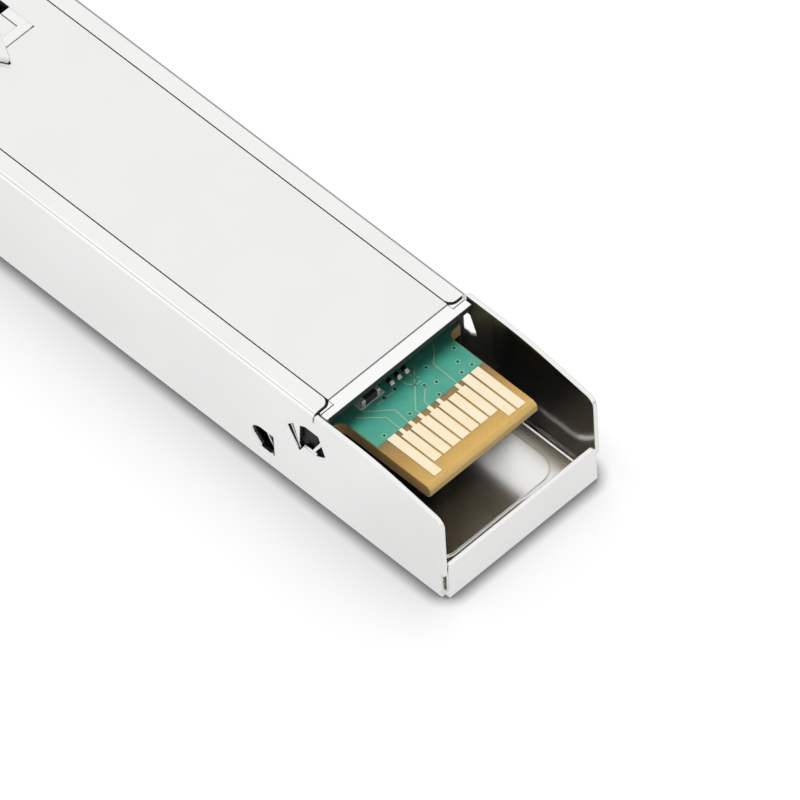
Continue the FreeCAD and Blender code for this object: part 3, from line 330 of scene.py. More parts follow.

# %% [markdown]
# The cover is stamped from thin steel and nickel-plated. Rolling leaves fine lines along the sheet, plating
# fills most of them, and handling leaves faint clouds. The eye gets a clear but slightly soft mirror. The
# bevel node rounds the edges by a few hundredths of a millimetre, so that they catch the light. The punched
# windows keep the rough grey of a sheared edge: those faces lie in the side walls and look along them. A
# punch burnishes the outer third of such a face and tears the rest. Inside the box the plating is thin and
# shows more of the sheet's grain, and beside the end bar the inner walls get a painted shade of darker grey
# and a rougher finish. Sheet that meets its neighbour without an edge gets no rounding.

# %% Nickel-plated steel sheet
SHEET_EDGE = 0.08
WINDOW_SIDE = cover_high.y - 0.36
BURNISHED = cover_high.y - 0.1
WINDOW_TOP = 7.1
WINDOW_REAR = 36.9
INSIDE_TOP = (0.8, 0.9)
INSIDE_TILT = (0.3, 0.6)
INSIDE_GRAIN = 5.0
INSIDE_ROUGH = 0.19
INNER_SIDE = cover_high.y - 0.25
# Beside the end bar the inner walls get a painted shade: darker grey, and rougher.
INNER_SHADE_END = (36.8, 39.6)
INNER_SHADE_COLOUR, INNER_SHADE_ROUGH = "#A6A6A4", 0.42
SHEARED_COLOUR, SHEARED_ROUGH = "#777777", 0.45
POLISH = (0.10, 0.18)
LINE_RELIEF = 6e-7


def make_nickel_sheet(name, edge_width):
    # Bright nickel: pale neutral metal, polished, with long fine lines and faint cloudy patches.
    material, tree, shader = start_material(name, Metallic=1.0)
    place = millimetres(tree)
    # Rolling lines are about 0.02 mm wide; 0.08 mm is the finest that shows here.
    lines = add_node(tree, NOISE, {"Vector": millimetres(tree, (40, 1, 1)), "Scale": 1 / 0.08})
    grain = add_node(tree, NOISE, {"Vector": place, "Scale": 1 / 0.12, "Detail": 2.0})
    plated = clouded(tree, place, 6.0, ("#F3F3F2", "#F0F0EF"))
    polished = add_node(tree, SPREAD, {0: lines, 1: 0.3, 2: 0.7, 3: POLISH[0], 4: POLISH[1]})
    x, y, z = add_node(tree, SPLIT, {0: place}).outputs
    normal = add_node(tree, "ShaderNodeNewGeometry").outputs["True Normal"]
    _, lean, tilt = add_node(tree, SPLIT, {0: normal}).outputs
    from_middle, sideways = [add_node(tree, MATH, {0: value}, operation="ABSOLUTE") for value in (y, lean)]
    masks = []
    for tests in (((from_middle, WINDOW_SIDE, "GREATER_THAN"), (from_middle, BURNISHED, "LESS_THAN"),
                   (sideways, 0.5, "LESS_THAN"), (z, WINDOW_TOP, "LESS_THAN"),
                   (x, WINDOW_REAR, "LESS_THAN")),
                  ((from_middle, INNER_SIDE, "LESS_THAN"), (sideways, 0.5, "GREATER_THAN"))):
        mask = 1.0
        for value, limit, compare in tests:
            passed = add_node(tree, MATH, {0: value, 1: limit}, operation=compare)
            mask = add_node(tree, MATH, {0: passed, 1: mask}, operation="MULTIPLY")
        masks.append(mask)
    sheared, inner_wall_shade = masks
    # Painted shade on the inner walls beside the end bar, fading out along x.
    fading = add_node(tree, SPREAD, {0: x, 1: INNER_SHADE_END[0], 2: INNER_SHADE_END[1], 3: 1.0, 4: 0.0})
    inner_wall_shade = add_node(tree, MATH, {0: inner_wall_shade, 1: fading}, operation="MULTIPLY")
    plated = add_node(tree, MIX, {0: inner_wall_shade, 6: plated, 7: INNER_SHADE_COLOUR}, data_type="RGBA")
    polished = add_node(tree, MIX, {0: inner_wall_shade, 2: polished, 3: INNER_SHADE_ROUGH})
    colour = add_node(tree, MIX, {0: sheared, 6: plated, 7: SHEARED_COLOUR}, data_type="RGBA")
    low = add_node(tree, SPREAD, {0: z, 1: INSIDE_TOP[0], 2: INSIDE_TOP[1], 3: 1.0, 4: 0.0})
    inside = add_node(tree, SPREAD, {0: tilt, 1: INSIDE_TILT[0], 2: INSIDE_TILT[1]})
    inside = add_node(tree, MATH, {0: low, 1: inside}, operation="MULTIPLY")
    rough = add_node(tree, MIX, {0: sheared, 2: polished, 3: SHEARED_ROUGH})
    rough = add_node(tree, MIX, {0: inside, 2: rough, 3: INSIDE_ROUGH})
    dull = add_node(tree, SPREAD, {0: inside, 3: 1.0, 4: INSIDE_GRAIN})
    height = add_node(tree, MATH, {0: grain, 1: dull, 2: lines}, operation="MULTIPLY_ADD")
    edge = add_node(tree, "ShaderNodeBevel", {"Radius": edge_width * MM}, samples=6)
    relief = add_node(tree, BUMP,
                      {"Height": height, "Strength": 1.0, "Distance": LINE_RELIEF, "Normal": edge})
    feed(shader, {"Base Color": colour, "Roughness": rough, "Normal": relief})
    return material


nickel_sheet = make_nickel_sheet("nickel_plated_steel_sheet", SHEET_EDGE)
nickel_bend = make_nickel_sheet("nickel_plated_steel_bend", 0.0)
print("made", nickel_sheet.name, "and", nickel_bend.name)

# %% [markdown]
# The base is die-cast zinc, tumbled smooth and nickel-plated. Outside it is bright and satin. Inside the box,
# under the flanges and deep in the latch recess it gets a painted shade of dull dark grey with a rough skin,
# and the height at which this painted shade ends is lower over the recess's open ramp. The end bar is
# coloured paler than the long panel, its rear face gets the same painted shade, and a painted dark line of
# shade marks the step between the two.

# %% Nickel-plated zinc casting
BAR_START = casting_high.x - 1.05
BAR_REAR = casting_high.x - 0.05
# Width of the painted dark line of shade along the step from panel to bar.
STEP_SHADE_WIDTH = 0.08
# Below these heights the casting gets a painted shade of dark grey.
PAINTED_SHADE_TOP = 8.22
RAMP_PAINTED_SHADE_TOP = 6.9
RAMP = (-0.3, 2.6)
RAMP_HALF = 3.3
NOSE_END = -2.5
CAST_EDGE = 0.06
BLEND = 0.05
BAR_BLEND = 0.04
SATIN = (0.22, 0.26)
SKIN_ROUGH = 0.5
PEEL_RELIEF = 8e-7


def make_zinc_casting():
    # Satin nickel over zinc: pale grey, a little softer than sheet, with orange-peel skin.
    material, tree, shader = start_material("nickel_plated_zinc_casting", Metallic=1.0)
    place = millimetres(tree)
    x, y, z = add_node(tree, SPLIT, {0: place}).outputs
    # Cast skin has a texture of about 0.3 mm.
    peel = add_node(tree, NOISE, {"Vector": place, "Scale": 1 / 0.3, "Detail": 1.0})
    past_front = add_node(tree, SPREAD, {0: x, 1: RAMP[0] - BLEND, 2: RAMP[0] + BLEND})
    before_end = add_node(tree, SPREAD, {0: x, 1: RAMP[1] - BLEND, 2: RAMP[1] + BLEND, 3: 1.0, 4: 0.0})
    on_ramp = add_node(tree, MATH, {0: past_front, 1: before_end}, operation="MULTIPLY")
    aside = add_node(tree, MATH, {0: y}, operation="ABSOLUTE")
    between = add_node(tree, SPREAD, {0: aside, 1: RAMP_HALF, 2: RAMP_HALF + 0.1, 3: 1.0, 4: 0.0})
    on_ramp = add_node(tree, MATH, {0: on_ramp, 1: between}, operation="MULTIPLY")
    shade_top = add_node(tree, MIX, {0: on_ramp, 2: PAINTED_SHADE_TOP, 3: RAMP_PAINTED_SHADE_TOP})
    height = add_node(tree, MATH, {0: z, 1: shade_top}, operation="SUBTRACT")
    above = add_node(tree, SPREAD, {0: height, 1: -BLEND, 2: BLEND})
    before_bar_rear = add_node(tree, SPREAD, {0: x, 1: BAR_REAR, 2: BAR_REAR + BAR_BLEND, 3: 1.0, 4: 0.0})
    above = add_node(tree, MATH, {0: above, 1: before_bar_rear}, operation="MULTIPLY")
    nose = add_node(tree, SPREAD, {0: x, 1: NOSE_END - 0.1, 2: NOSE_END + 0.1, 3: 1.0, 4: 0.0})
    unshaded = add_node(tree, MATH, {0: above, 1: nose}, operation="MAXIMUM")
    bar = add_node(tree, SPREAD, {0: x, 1: BAR_START - BAR_BLEND, 2: BAR_START + BAR_BLEND})
    panel = clouded(tree, place, 5.0, ("#F0F0EF", "#EEEEED"))
    bright = add_node(tree, MIX, {0: bar, 6: panel, 7: "#F9F9F8"}, data_type="RGBA")
    # Painted shade: a dark line along the step between the panel and the bar.
    step = add_node(tree, MATH, {0: x, 1: BAR_START}, operation="SUBTRACT")
    step = add_node(tree, MATH, {0: step}, operation="ABSOLUTE")
    step_shade = add_node(tree, SPREAD, {0: step, 1: STEP_SHADE_WIDTH * 0.2, 2: STEP_SHADE_WIDTH / 2, 3: 0.85, 4: 0.0})
    step_shaded = add_node(tree, MIX, {0: step_shade, 6: bright, 7: "#4E4E4E"}, data_type="RGBA")
    # Painted shade: dark grey inside the box, under the flanges, in the recess and on the bar's rear face.
    colour = add_node(tree, MIX, {0: unshaded, 6: "#4A4A4B", 7: step_shaded}, data_type="RGBA")
    satin = add_node(tree, SPREAD, {0: peel, 1: 0.3, 2: 0.7, 3: SATIN[0], 4: SATIN[1]})
    rough = add_node(tree, MIX, {0: unshaded, 2: SKIN_ROUGH, 3: satin})
    edge = add_node(tree, "ShaderNodeBevel", {"Radius": CAST_EDGE * MM}, samples=6)
    relief = add_node(tree, BUMP,
                      {"Height": peel, "Strength": 1.0, "Distance": PEEL_RELIEF, "Normal": edge})
    feed(shader, {"Base Color": colour, "Roughness": rough, "Normal": relief})
    return material


zinc_casting = make_zinc_casting()
print("made", zinc_casting.name, "with the bar from x =", round(BAR_START, 2), "mm")

# %% [markdown]
# The tongue of the circuit board is bare laminate: woven glass in amber epoxy. The weave shows as a faint
# check of half-millimetre threads, and the cut edges show the pressed layers as darker and lighter lines on a
# paler colour, which is partly painted light. The board is a little translucent, so light that falls on top
# glows from its edges. Towards the solder mask and the end bar the resin is painted browner, a painted shade.

# %% Glass-epoxy laminate
WEAVE_PITCH = 0.5
LAYER_PITCH = 0.2
# Painted shade: the resin darkens from these spans towards the mask and the end bar.
BAR_SHADE_SPANS = ((39.3, 41.2), (41.2, 43.7))
BAR_SHADE_COLOURS = ("#836B48", "#B88F4B", "#DAB366")
THREADS_SHOW = 0.2
PATCHES_SHOW = 0.25
# Layer lines on the cut edges, mixed towards a paler colour that is partly painted light.
LAYERS_AND_EDGE_LIGHT = (0.45, 0.85)
WEAVE_RELIEF = 1.5e-6


def make_laminate():
    # Amber and slightly translucent to the eye, half glossy, with a faint square weave.
    material, tree, shader = start_material("glass_epoxy_laminate", Roughness=0.42, IOR=1.55,
                                            Subsurface_Weight=0.5, Subsurface_Radius=(1.0, 0.6, 0.25),
                                            Subsurface_Scale=1.0 * MM)
    place = millimetres(tree)
    axes = add_node(tree, SPLIT, {0: place})
    waves = {}
    for axis, pitch in (("X", WEAVE_PITCH), ("Y", WEAVE_PITCH), ("Z", LAYER_PITCH)):
        turns = add_node(tree, MATH, {0: axes.outputs[axis], 1: 2 * math.pi / pitch}, operation="MULTIPLY")
        waves[axis] = add_node(tree, MATH, {0: turns}, operation="SINE")
    check = add_node(tree, MATH, {0: waves["X"], 1: waves["Y"]}, operation="MULTIPLY")
    # Painted shade: the resin colour darkens towards the mask and the end bar.
    shaded_resin = BAR_SHADE_COLOURS[0]
    for (start, end), tint in zip(BAR_SHADE_SPANS, BAR_SHADE_COLOURS[1:]):
        along = add_node(tree, SPREAD, {0: axes.outputs["X"], 1: start, 2: end})
        shaded_resin = add_node(tree, MIX, {0: along, 6: shaded_resin, 7: tint}, data_type="RGBA")
    threads = add_node(tree, SPREAD, {0: check, 1: -1.0, 2: 1.0, 3: 0.0, 4: THREADS_SHOW})
    woven = add_node(tree, MIX, {0: threads, 6: shaded_resin, 7: "#F2E4C0"},
                     data_type="RGBA", blend_type="SOFT_LIGHT")
    clouds = add_node(tree, NOISE, {"Vector": place, "Scale": 1 / 1.2, "Detail": 4.0})
    patches = add_node(tree, SPREAD, {0: clouds, 1: 0.35, 2: 0.65, 3: 0.0, 4: PATCHES_SHOW})
    mottled = add_node(tree, MIX, {0: patches, 6: woven, 7: "#C39B55"}, data_type="RGBA")
    normal = add_node(tree, "ShaderNodeNewGeometry").outputs["Normal"]
    facing = add_node(tree, SPLIT, {0: normal}).outputs["Z"]
    flat = add_node(tree, MATH, {0: facing}, operation="ABSOLUTE")
    layers_and_edge_light = add_node(tree, SPREAD,
                       {0: waves["Z"], 1: -1.0, 2: 1.0, 3: LAYERS_AND_EDGE_LIGHT[0], 4: LAYERS_AND_EDGE_LIGHT[1]})
    # The cut edges show pressed layers on a paler colour, which is partly painted light.
    edge = add_node(tree, MIX, {0: layers_and_edge_light, 6: shaded_resin, 7: "#F7D998"}, data_type="RGBA")
    colour = add_node(tree, MIX, {0: flat, 6: edge, 7: mottled}, data_type="RGBA")
    relief = add_node(tree, BUMP, {"Height": check, "Strength": 0.5, "Distance": WEAVE_RELIEF})
    feed(shader, {"Base Color": colour, "Normal": relief})
    return material


laminate = make_laminate()
print("made", laminate.name, "with threads every", WEAVE_PITCH, "mm")

# %% [markdown]
# The edge contacts are plated with hard gold, a thin alloy that stands many insertions. Each plugging leaves
# fine wipe lines along the module, so the gold is bright and a little streaky in that direction.

# %% Hard gold plating


def make_gold():
    # Pale warm metal, half polished, with wipe lines along the contact.
    material, tree, shader = start_material("hard_gold_plating", Metallic=1.0)
    # Wipe lines are about 0.01 mm wide; 0.05 mm is the finest that shows here.
    wipe = add_node(tree, NOISE, {"Vector": millimetres(tree, (20, 1, 1)), "Scale": 1 / 0.05})
    colour = clouded(tree, millimetres(tree), 1.2, ("#FFF2D6", "#FFEBC8"), limits=(0.3, 0.7))
    rough = add_node(tree, SPREAD, {0: wipe, 1: 0.3, 2: 0.7, 3: 0.28, 4: 0.31})
    relief = add_node(tree, BUMP, {"Height": wipe, "Strength": 0.2, "Distance": 5e-7})
    feed(shader, {"Base Color": colour, "Roughness": rough, "Normal": relief})
    return material


gold = make_gold()
print("made", gold.name)

# %% [markdown]
# Inside are the turned optical barrels, ground pins, a ceramic sleeve, moulded chips, amber flexible circuits
# and a soft grey pad. They show only through the openings, so each gets its real material from one short
# recipe: two colours mixed by a noise of a real grain size, a range of roughness and a low relief.

# %% Materials of the inner parts


def grained(name, colours, grain, rough, relief, stretch=(1, 1, 1), **sockets):
    """A material with two colours, roughness and relief that follow a grain of a size in mm."""
    material, tree, shader = start_material(name, **sockets)
    noise = add_node(tree, NOISE, {"Vector": millimetres(tree, stretch), "Scale": 1 / grain, "Detail": 3.0})
    grains = add_node(tree, SPREAD, {0: noise, 1: 0.3, 2: 0.7})
    colour = add_node(tree, MIX, {0: grains, 6: colours[0], 7: colours[1]}, data_type="RGBA")
    gloss = add_node(tree, SPREAD, {0: grains, 3: rough[0], 4: rough[1]})
    bump = add_node(tree, BUMP, {"Height": noise, "Strength": 1.0, "Distance": relief * MM})
    feed(shader, {"Base Color": colour, "Roughness": gloss, "Normal": bump})
    return material


finishes = {
    "nickel_plated_sheet": nickel_sheet,
    "zinc_casting": zinc_casting,
    "board_laminate": laminate,
    "contact_gold": gold,
    # Ground steel: grey mirror with fine lines along the grinding.
    "bare_steel": grained("ground_steel", ("#B9BABC", "#D2D2D3"), 0.05, (0.22, 0.38), 0.001, (1, 30, 1),
                          Metallic=1.0),
    # Turned stainless: rings round the axis, which lies along the module.
    "stainless_barrel": grained("turned_stainless_steel", ("#C4C5C6", "#DADBDB"), 0.06, (0.18, 0.32), 0.001,
                                (1, 25, 25), Metallic=1.0),
    # Moulded epoxy: near black, matt, with a fine sparkle of glass filler.
    "chip_epoxy": grained("moulded_black_epoxy", ("#19191B", "#2B2B2E"), 0.06, (0.5, 0.7), 0.003),
    # Fired ceramic: dark brown-grey, dense and half matt.
    "chip_ceramic": grained("fired_barium_ceramic", ("#2C2824", "#3D362F"), 0.08, (0.4, 0.55), 0.002),
    # Ground zirconia: warm white and glossy.
    "zirconia": grained("ground_zirconia", ("#F0EDE4", "#E6E2D8"), 0.1, (0.12, 0.25), 0.0005),
    # Polyimide film: clear amber with faint draw lines.
    "polyimide": grained("amber_polyimide_film", ("#A9681E", "#C07F2C"), 0.3, (0.25, 0.4), 0.001, (8, 1, 1)),
    # Filled silicone: soft blue-grey, matt and grainy.
    "silicone": grained("filled_silicone_pad", ("#8D969E", "#A5ADB4"), 0.15, (0.6, 0.8), 0.01),
    # Polyester film: plain white, satin, slightly orange-peeled.
    "label_film": grained("white_polyester_film", ("#EFEFEC", "#E6E6E3"), 0.4, (0.35, 0.5), 0.001),
}
for part in frame["record"]["subparts"]:
    nodes[part["node"]].material_slots[0].material = finishes[part["material_slot"]]
print("finishes on CAD parts:", len(finishes))

# %% [markdown]
# Green solder mask covers the board up to the contacts. It is a thin printed film, so it follows the board's
# outline. It is built as a slab two hundredths of a millimetre thick, extruded from an outline in bmesh, and
# small parts of the same kind use the same functions. Under the board lies a thin black sheet of the same
# outline, a painted shade for the dark inside of the box.

# %% Solder mask
MASK_FILM = 0.02
MASK_EDGE = 39.2
# End of the black sheet under the board, which is a painted shade.
SHADE_FILM_EDGE = 38.9
MASK_RIM = 0.05
SHOULDER = casting_high.x - 0.65
SHOULDER_FILLET = 0.6
FILLET_STEPS = 6
TONGUE_HALF = 4.6
RIGHT_ANGLE = math.pi / 2


def make_mask_material(name, colours):
    # Green epoxy ink: glossy film, slightly uneven, over a faint weave.
    material, tree, shader = start_material(name, IOR=1.6)
    place = millimetres(tree)
    ripple = add_node(tree, NOISE, {"Vector": place, "Scale": 1 / 0.25, "Detail": 2.0})
    colour = clouded(tree, place, 0.9, colours, detail=4.0)
    rough = add_node(tree, SPREAD, {0: ripple, 1: 0.3, 2: 0.7, 3: 0.3, 4: 0.36})
    relief = add_node(tree, BUMP, {"Height": ripple, "Strength": 0.5, "Distance": 1e-6})
    feed(shader, {"Base Color": colour, "Roughness": rough, "Normal": relief})
    return material


def add_piece(name, bm, material, body):
    """A mesh object from a bmesh in mm, with a material, riding on a body."""
    bmesh.ops.scale(bm, vec=(MM, MM, MM), verts=bm.verts)
    bmesh.ops.recalc_face_normals(bm, faces=bm.faces)
    mesh = bpy.data.meshes.new(name)
    bm.to_mesh(mesh)
    bm.free()
    mesh.materials.append(material)
    piece = add_object(name, mesh)
    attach(piece, body)
    return piece


def extrude(bm, corners, shift):
    """A plate in a bmesh: a face with these corners, drawn out by a shift."""
    face = bm.faces.new([bm.verts.new(corner) for corner in corners])
    raised = bmesh.ops.extrude_face_region(bm, geom=[face])
    moved = [v for v in raised["geom"] if isinstance(v, bmesh.types.BMVert)]
    bmesh.ops.translate(bm, vec=shift, verts=moved)


def add_slab(bm, outline, low, high):
    """A flat plate: an outline in x and y, from one height to another."""
    extrude(bm, [(x, y, low) for x, y in outline], (0, 0, high - low))


def arc(centre, radius, first, last, steps):
    """Points along an arc from one angle to another, with both ends."""
    turns = [first + (last - first) * step / steps for step in range(steps + 1)]
    return [(centre[0] + radius * math.cos(t), centre[1] + radius * math.sin(t)) for t in turns]


def mask_outline(end):
    """Half of the board's outline up to an end, then its mirror image."""
    wide, narrow = board_high.y - MASK_RIM, TONGUE_HALF - MASK_RIM
    side = [(board_low.x + MASK_RIM, wide), (min(SHOULDER - MASK_RIM, end), wide)]
    if end > SHOULDER + SHOULDER_FILLET:
        centre = (SHOULDER - MASK_RIM + SHOULDER_FILLET, narrow + SHOULDER_FILLET)
        side += arc(centre, SHOULDER_FILLET, math.pi, math.pi + RIGHT_ANGLE, FILLET_STEPS)
        side.append((end, narrow))
    return side + [(x, -y) for x, y in reversed(side)]


mask_green = make_mask_material("green_solder_mask", ("#3F9A85", "#49A48E"))
mask_top = board_high.z + MASK_FILM
# Black sheet, a painted shade under the board: dull and faintly rippled.
shade_film = grained("black_shade_film", ("#0C0C0D", "#141415"), 0.6, (0.45, 0.6), 0.002)
for name, end, low, high, skin in (
        ("solder_mask_latch_side", MASK_EDGE, board_high.z, mask_top, mask_green),
        ("shade_film_label_side", SHADE_FILM_EDGE, board_low.z - MASK_FILM, board_low.z, shade_film)):
    slab = bmesh.new()
    add_slab(slab, mask_outline(end), low, high)
    add_piece(name, slab, skin, "module")
print("mask ends", round(contacts_low.x - MASK_EDGE, 2), "mm before the long contacts")

# %% [markdown]
# Copper lines run under the mask from the contacts towards the chips. The film over them is thinner and lies
# on bright metal, so they look paler than the rest. Each is a raised strip along a few points, with mitred
# corners, a hundredth of a millimetre proud of the mask, and a lower, wider strip makes its darker border.

# %% Copper lines under the mask
LINE_WIDTH = 0.11
LINE_EDGE = 0.26
LINE_RISE = 0.012
LINES = (
    ((35.2, 3.93), (36.35, 3.18), (37.1, 2.38), (39.15, 2.33)),
    ((36.3, 1.48), (38.85, -0.92), (39.2, -0.9)),
    ((37.9, 0.88), (38.75, -0.07), (39.2, -0.12)),
    ((36.6, -3.22), (37.9, -1.77), (39.2, -1.87)),
    ((36.6, -3.87), (37.95, -2.55), (39.2, -2.57)),
    ((36.85, -0.47), (36.85, -2.27)),
    ((36.2, 0.13), (37.0, 0.13), (37.45, 0.5), (37.45, 0.95)),
    ((36.35, 0.8), (36.9, 0.8), (37.2, 1.1)),
)


def add_line(bm, points, width, low, high):
    """A flat strip of a width along points in x and y."""
    path = [Vector(p) for p in points]
    steps = [(b - a).normalized() for a, b in zip(path, path[1:])]
    sides = ([], [])
    for number, point in enumerate(path):
        before, after = steps[max(number - 1, 0)], steps[min(number, len(steps) - 1)]
        along = (before + after).normalized()
        across = Vector((-along.y, along.x)) * (width / 2 / max(along.dot(after), 0.3))
        sides[0].append(point + across)
        sides[1].append(point - across)
    add_slab(bm, [tuple(p) for p in sides[0] + sides[1][::-1]], low, high)


mask_over_copper = make_mask_material("solder_mask_over_copper", ("#74B299", "#7EB9A1"))
# Ink runs off the edge of a copper line and leaves a thin, browner border.
mask_at_edge = make_mask_material("solder_mask_at_copper_edge", ("#4B9478", "#55997E"))
strips, borders = bmesh.new(), bmesh.new()
for points in LINES:
    add_line(strips, points, LINE_WIDTH, mask_top, mask_top + LINE_RISE)
    add_line(borders, points, LINE_EDGE, mask_top, mask_top + LINE_RISE / 3)
add_piece("copper_lines_latch_side", strips, mask_over_copper, "module")
add_piece("copper_line_borders_latch_side", borders, mask_at_edge, "module")
print("copper lines:", len(LINES))

# %% [markdown]
# Small plated holes, the vias, join the copper layers. The mask sinks into each hole and leaves a dark dot in
# a pale ring of copper. A ring is a band between two circles, and the dot is a thin dark disc of ink, whose
# darkness is partly a painted shade for the hole.

# %% Vias
VIA_OUTER = 0.18
VIA_INNER = 0.1
VIA_STEPS = 16
VIAS = ((37.12, 4.13), (38.03, 3.53), (38.82, 3.96), (38.8, 3.11), (38.2, 1.53), (39.0, 0.93), (36.95, 1.88),
        (37.85, 0.83), (38.78, -1.34), (38.85, -3.62), (36.72, -1.57), (36.7, -0.62))


def circle(centre, radius):
    return arc(centre, radius, 0, 2 * math.pi, VIA_STEPS)[:-1]


def add_ring(bm, centre, inner, outer, low, high):
    """A flat ring between two circles."""
    loops = [[bm.verts.new((x, y, z)) for x, y in circle(centre, radius)]
             for radius, z in ((inner, low), (outer, low), (outer, high), (inner, high))]
    for number, loop in enumerate(loops):
        beside = loops[(number + 1) % 4]
        for step in range(VIA_STEPS):
            after = (step + 1) % VIA_STEPS
            bm.faces.new((loop[step], loop[after], beside[after], beside[step]))


# Ink pooled over a hole: very dark green and glossy, partly a painted shade for the hole beneath.
mask_in_hole = make_mask_material("solder_mask_in_hole", ("#10352C", "#173F35"))
rings, dots = bmesh.new(), bmesh.new()
for centre in VIAS:
    add_ring(rings, centre, VIA_INNER, VIA_OUTER, mask_top, mask_top + LINE_RISE)
    add_slab(dots, circle(centre, VIA_INNER), mask_top, mask_top + LINE_RISE / 3)
add_piece("via_rings_latch_side", rings, mask_over_copper, "module")
add_piece("via_holes_latch_side", dots, mask_in_hole, "module")
print("vias:", len(VIAS))

# %% [markdown]
# The chip resistors and capacitors are tiny blocks with tinned ends, soldered to pads. The CAD model has them
# as plain blocks. Here each is built at its own block's place: a body, two metal caps that wrap its ends, and
# a rise of solder at the foot of each cap. The blocks are found as the separate islands of a CAD mesh.

# %% Chip parts at the opening
CHIP_EDGE = 0.025
CAP_EDGE = 0.07
CAP_PROUD = 0.015
SOLDER_REACH = 0.1
RESISTOR_CAP, CAPACITOR_CAP = 0.17, 0.34


def solid_boxes(node):
    """The lowest and highest corner in mm of each separate solid in a CAD node."""
    bm = bmesh.new()
    bm.from_mesh(nodes[node].data)
    bmesh.ops.remove_doubles(bm, verts=bm.verts, dist=1e-7)
    left, boxes = set(bm.verts), []
    while left:
        island, edge = set(), [left.pop()]
        while edge:
            vert = edge.pop()
            island.add(vert)
            beside = {e.other_vert(vert) for e in vert.link_edges} & left
            left -= beside
            edge.extend(beside)
        corners = [[v.co[axis] / MM for v in island] for axis in range(3)]
        boxes.append((Vector(min(c) for c in corners), Vector(max(c) for c in corners)))
    bm.free()
    return sorted(boxes, key=lambda pair: tuple(pair[0]))


def add_block(bm, low, high, edge):
    """A box with rounded edges between two corners."""
    verts = bmesh.ops.create_cube(bm, size=1.0)["verts"]
    bmesh.ops.scale(bm, vec=Vector(high) - Vector(low), verts=verts)
    bmesh.ops.translate(bm, vec=(Vector(low) + Vector(high)) / 2, verts=verts)
    edges = list({e for v in verts for e in v.link_edges})
    bmesh.ops.bevel(bm, geom=edges, offset=edge, segments=2, affect="EDGES", profile=0.5)


def add_solder(bm, axis, low, high, outward):
    """A hollow slope of solder from a cap's outer face down to its pad."""
    face = high[axis] if outward > 0 else low[axis]
    rise = (high.z - low.z) * 0.5
    slope = ((0.0, 0.0), (SOLDER_REACH, 0.0), (SOLDER_REACH, 0.02),
             (SOLDER_REACH * 0.4, rise * 0.35), (0.0, rise))
    sides = []
    for across in (low[1 - axis], high[1 - axis]):
        loop = []
        for out, up in slope:
            corner = Vector((0, 0, mask_top + up))
            corner[axis] = face + outward * (out - 0.01)
            corner[1 - axis] = across
            loop.append(bm.verts.new(corner))
        sides.append(loop)
        bm.faces.new(loop)
    for number in range(len(slope)):
        after = (number + 1) % len(slope)
        bm.faces.new((sides[0][number], sides[0][after], sides[1][after], sides[1][number]))


def add_chip(bodies, caps, low, high, cap):
    """A chip whose longer side carries two caps of a length, with solder at their feet."""
    axis = 0 if high.x - low.x > high.y - low.y else 1
    inset = Vector((CAP_PROUD, CAP_PROUD, CAP_PROUD))
    inset[axis] = cap / 2
    add_block(bodies, low + inset, high - inset, CHIP_EDGE)
    for start, outward in ((low[axis], -1), (high[axis] - cap, 1)):
        first, last = low.copy(), high.copy()
        first[axis], last[axis] = start, start + cap
        add_block(caps, first, last, CAP_EDGE)
        add_solder(caps, axis, first, last, outward)


# Tin plating wetted by solder: pale bright metal with soft round edges that catch the light.
tin = grained("wetted_tin_plating", ("#FBFBF8", "#F0F0EC"), 0.05, (0.25, 0.4), 0.001, Metallic=0.4)
# Fired black glaze over the resistor's film.
glaze = grained("fired_black_glaze", ("#141416", "#222225"), 0.05, (0.25, 0.4), 0.001)
for node, part, skin, cap in (("chip_resistors", "resistor", glaze, RESISTOR_CAP),
                              ("chip_capacitors", "capacitor", finishes["chip_ceramic"], CAPACITOR_CAP)):
    bodies, caps = bmesh.new(), bmesh.new()
    for low, high in solid_boxes(node):
        add_chip(bodies, caps, low, high, cap)
    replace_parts(add_piece(part + "_bodies", bodies, skin, "module"), node)
    add_piece(part + "_caps", caps, tin, "module")
    print(node, "dressed:", len(solid_boxes(node)))

# %% [markdown]
# A printed white frame marks the place of the larger chip part. It is a line of ink on the mask, drawn as
# three flat strips that run in under the end bar.

# %% White printed frame
INK_WIDTH = 0.09
INK_RISE = 0.012
FRAME_MARGIN = 0.17
FRAME_RUN = 0.3
near_low, near_high = [box for box in solid_boxes("chip_capacitors") if box[1].x > SHOULDER][0]
frame_right = near_high.x + FRAME_MARGIN / 2
frame_top, frame_bottom = near_high.y + FRAME_MARGIN, near_low.y - FRAME_MARGIN
frame_left = near_low.x - FRAME_RUN
frame_line = ((frame_left, frame_top), (frame_right, frame_top), (frame_right, frame_bottom),
              (frame_left, frame_bottom))
# Marking ink: chalky white, thin enough to show a little green.
ink = grained("white_marking_ink", ("#FFFFFF", "#EEF4F0"), 0.08, (0.45, 0.6), 0.001)
marks = bmesh.new()
add_line(marks, frame_line, INK_WIDTH, mask_top, mask_top + INK_RISE)
add_piece("printed_frame_latch_side", marks, ink, "module")
print("printed frame to x =", round(frame_right, 2), "mm")

# %% [markdown]
# Beside each end of the bar lies a small raised tile of the casting, with a narrow gap all round it that
# looks like a drawn line. Its front corner follows the rounded end of the cover's flange. It is a slab with
# that outline, on the casting's ledge, and its edges are softened by a bevel modifier.

# %% Tiles beside the end bar
FLANGE_EDGE = 5.2
FLANGE_END = casting_high.x - 0.9
FLANGE_ROUND = 0.5
TILE_GAP = 0.15
TILE_FOOT = 8.12
TILE_TOP = 8.43
TILE_REAR = FLANGE_END + 0.28
TILE_INNER, TILE_OUTER = FLANGE_EDGE - 0.05, 6.17
TILE_SOFT = 0.04
TILE_STEPS = 8


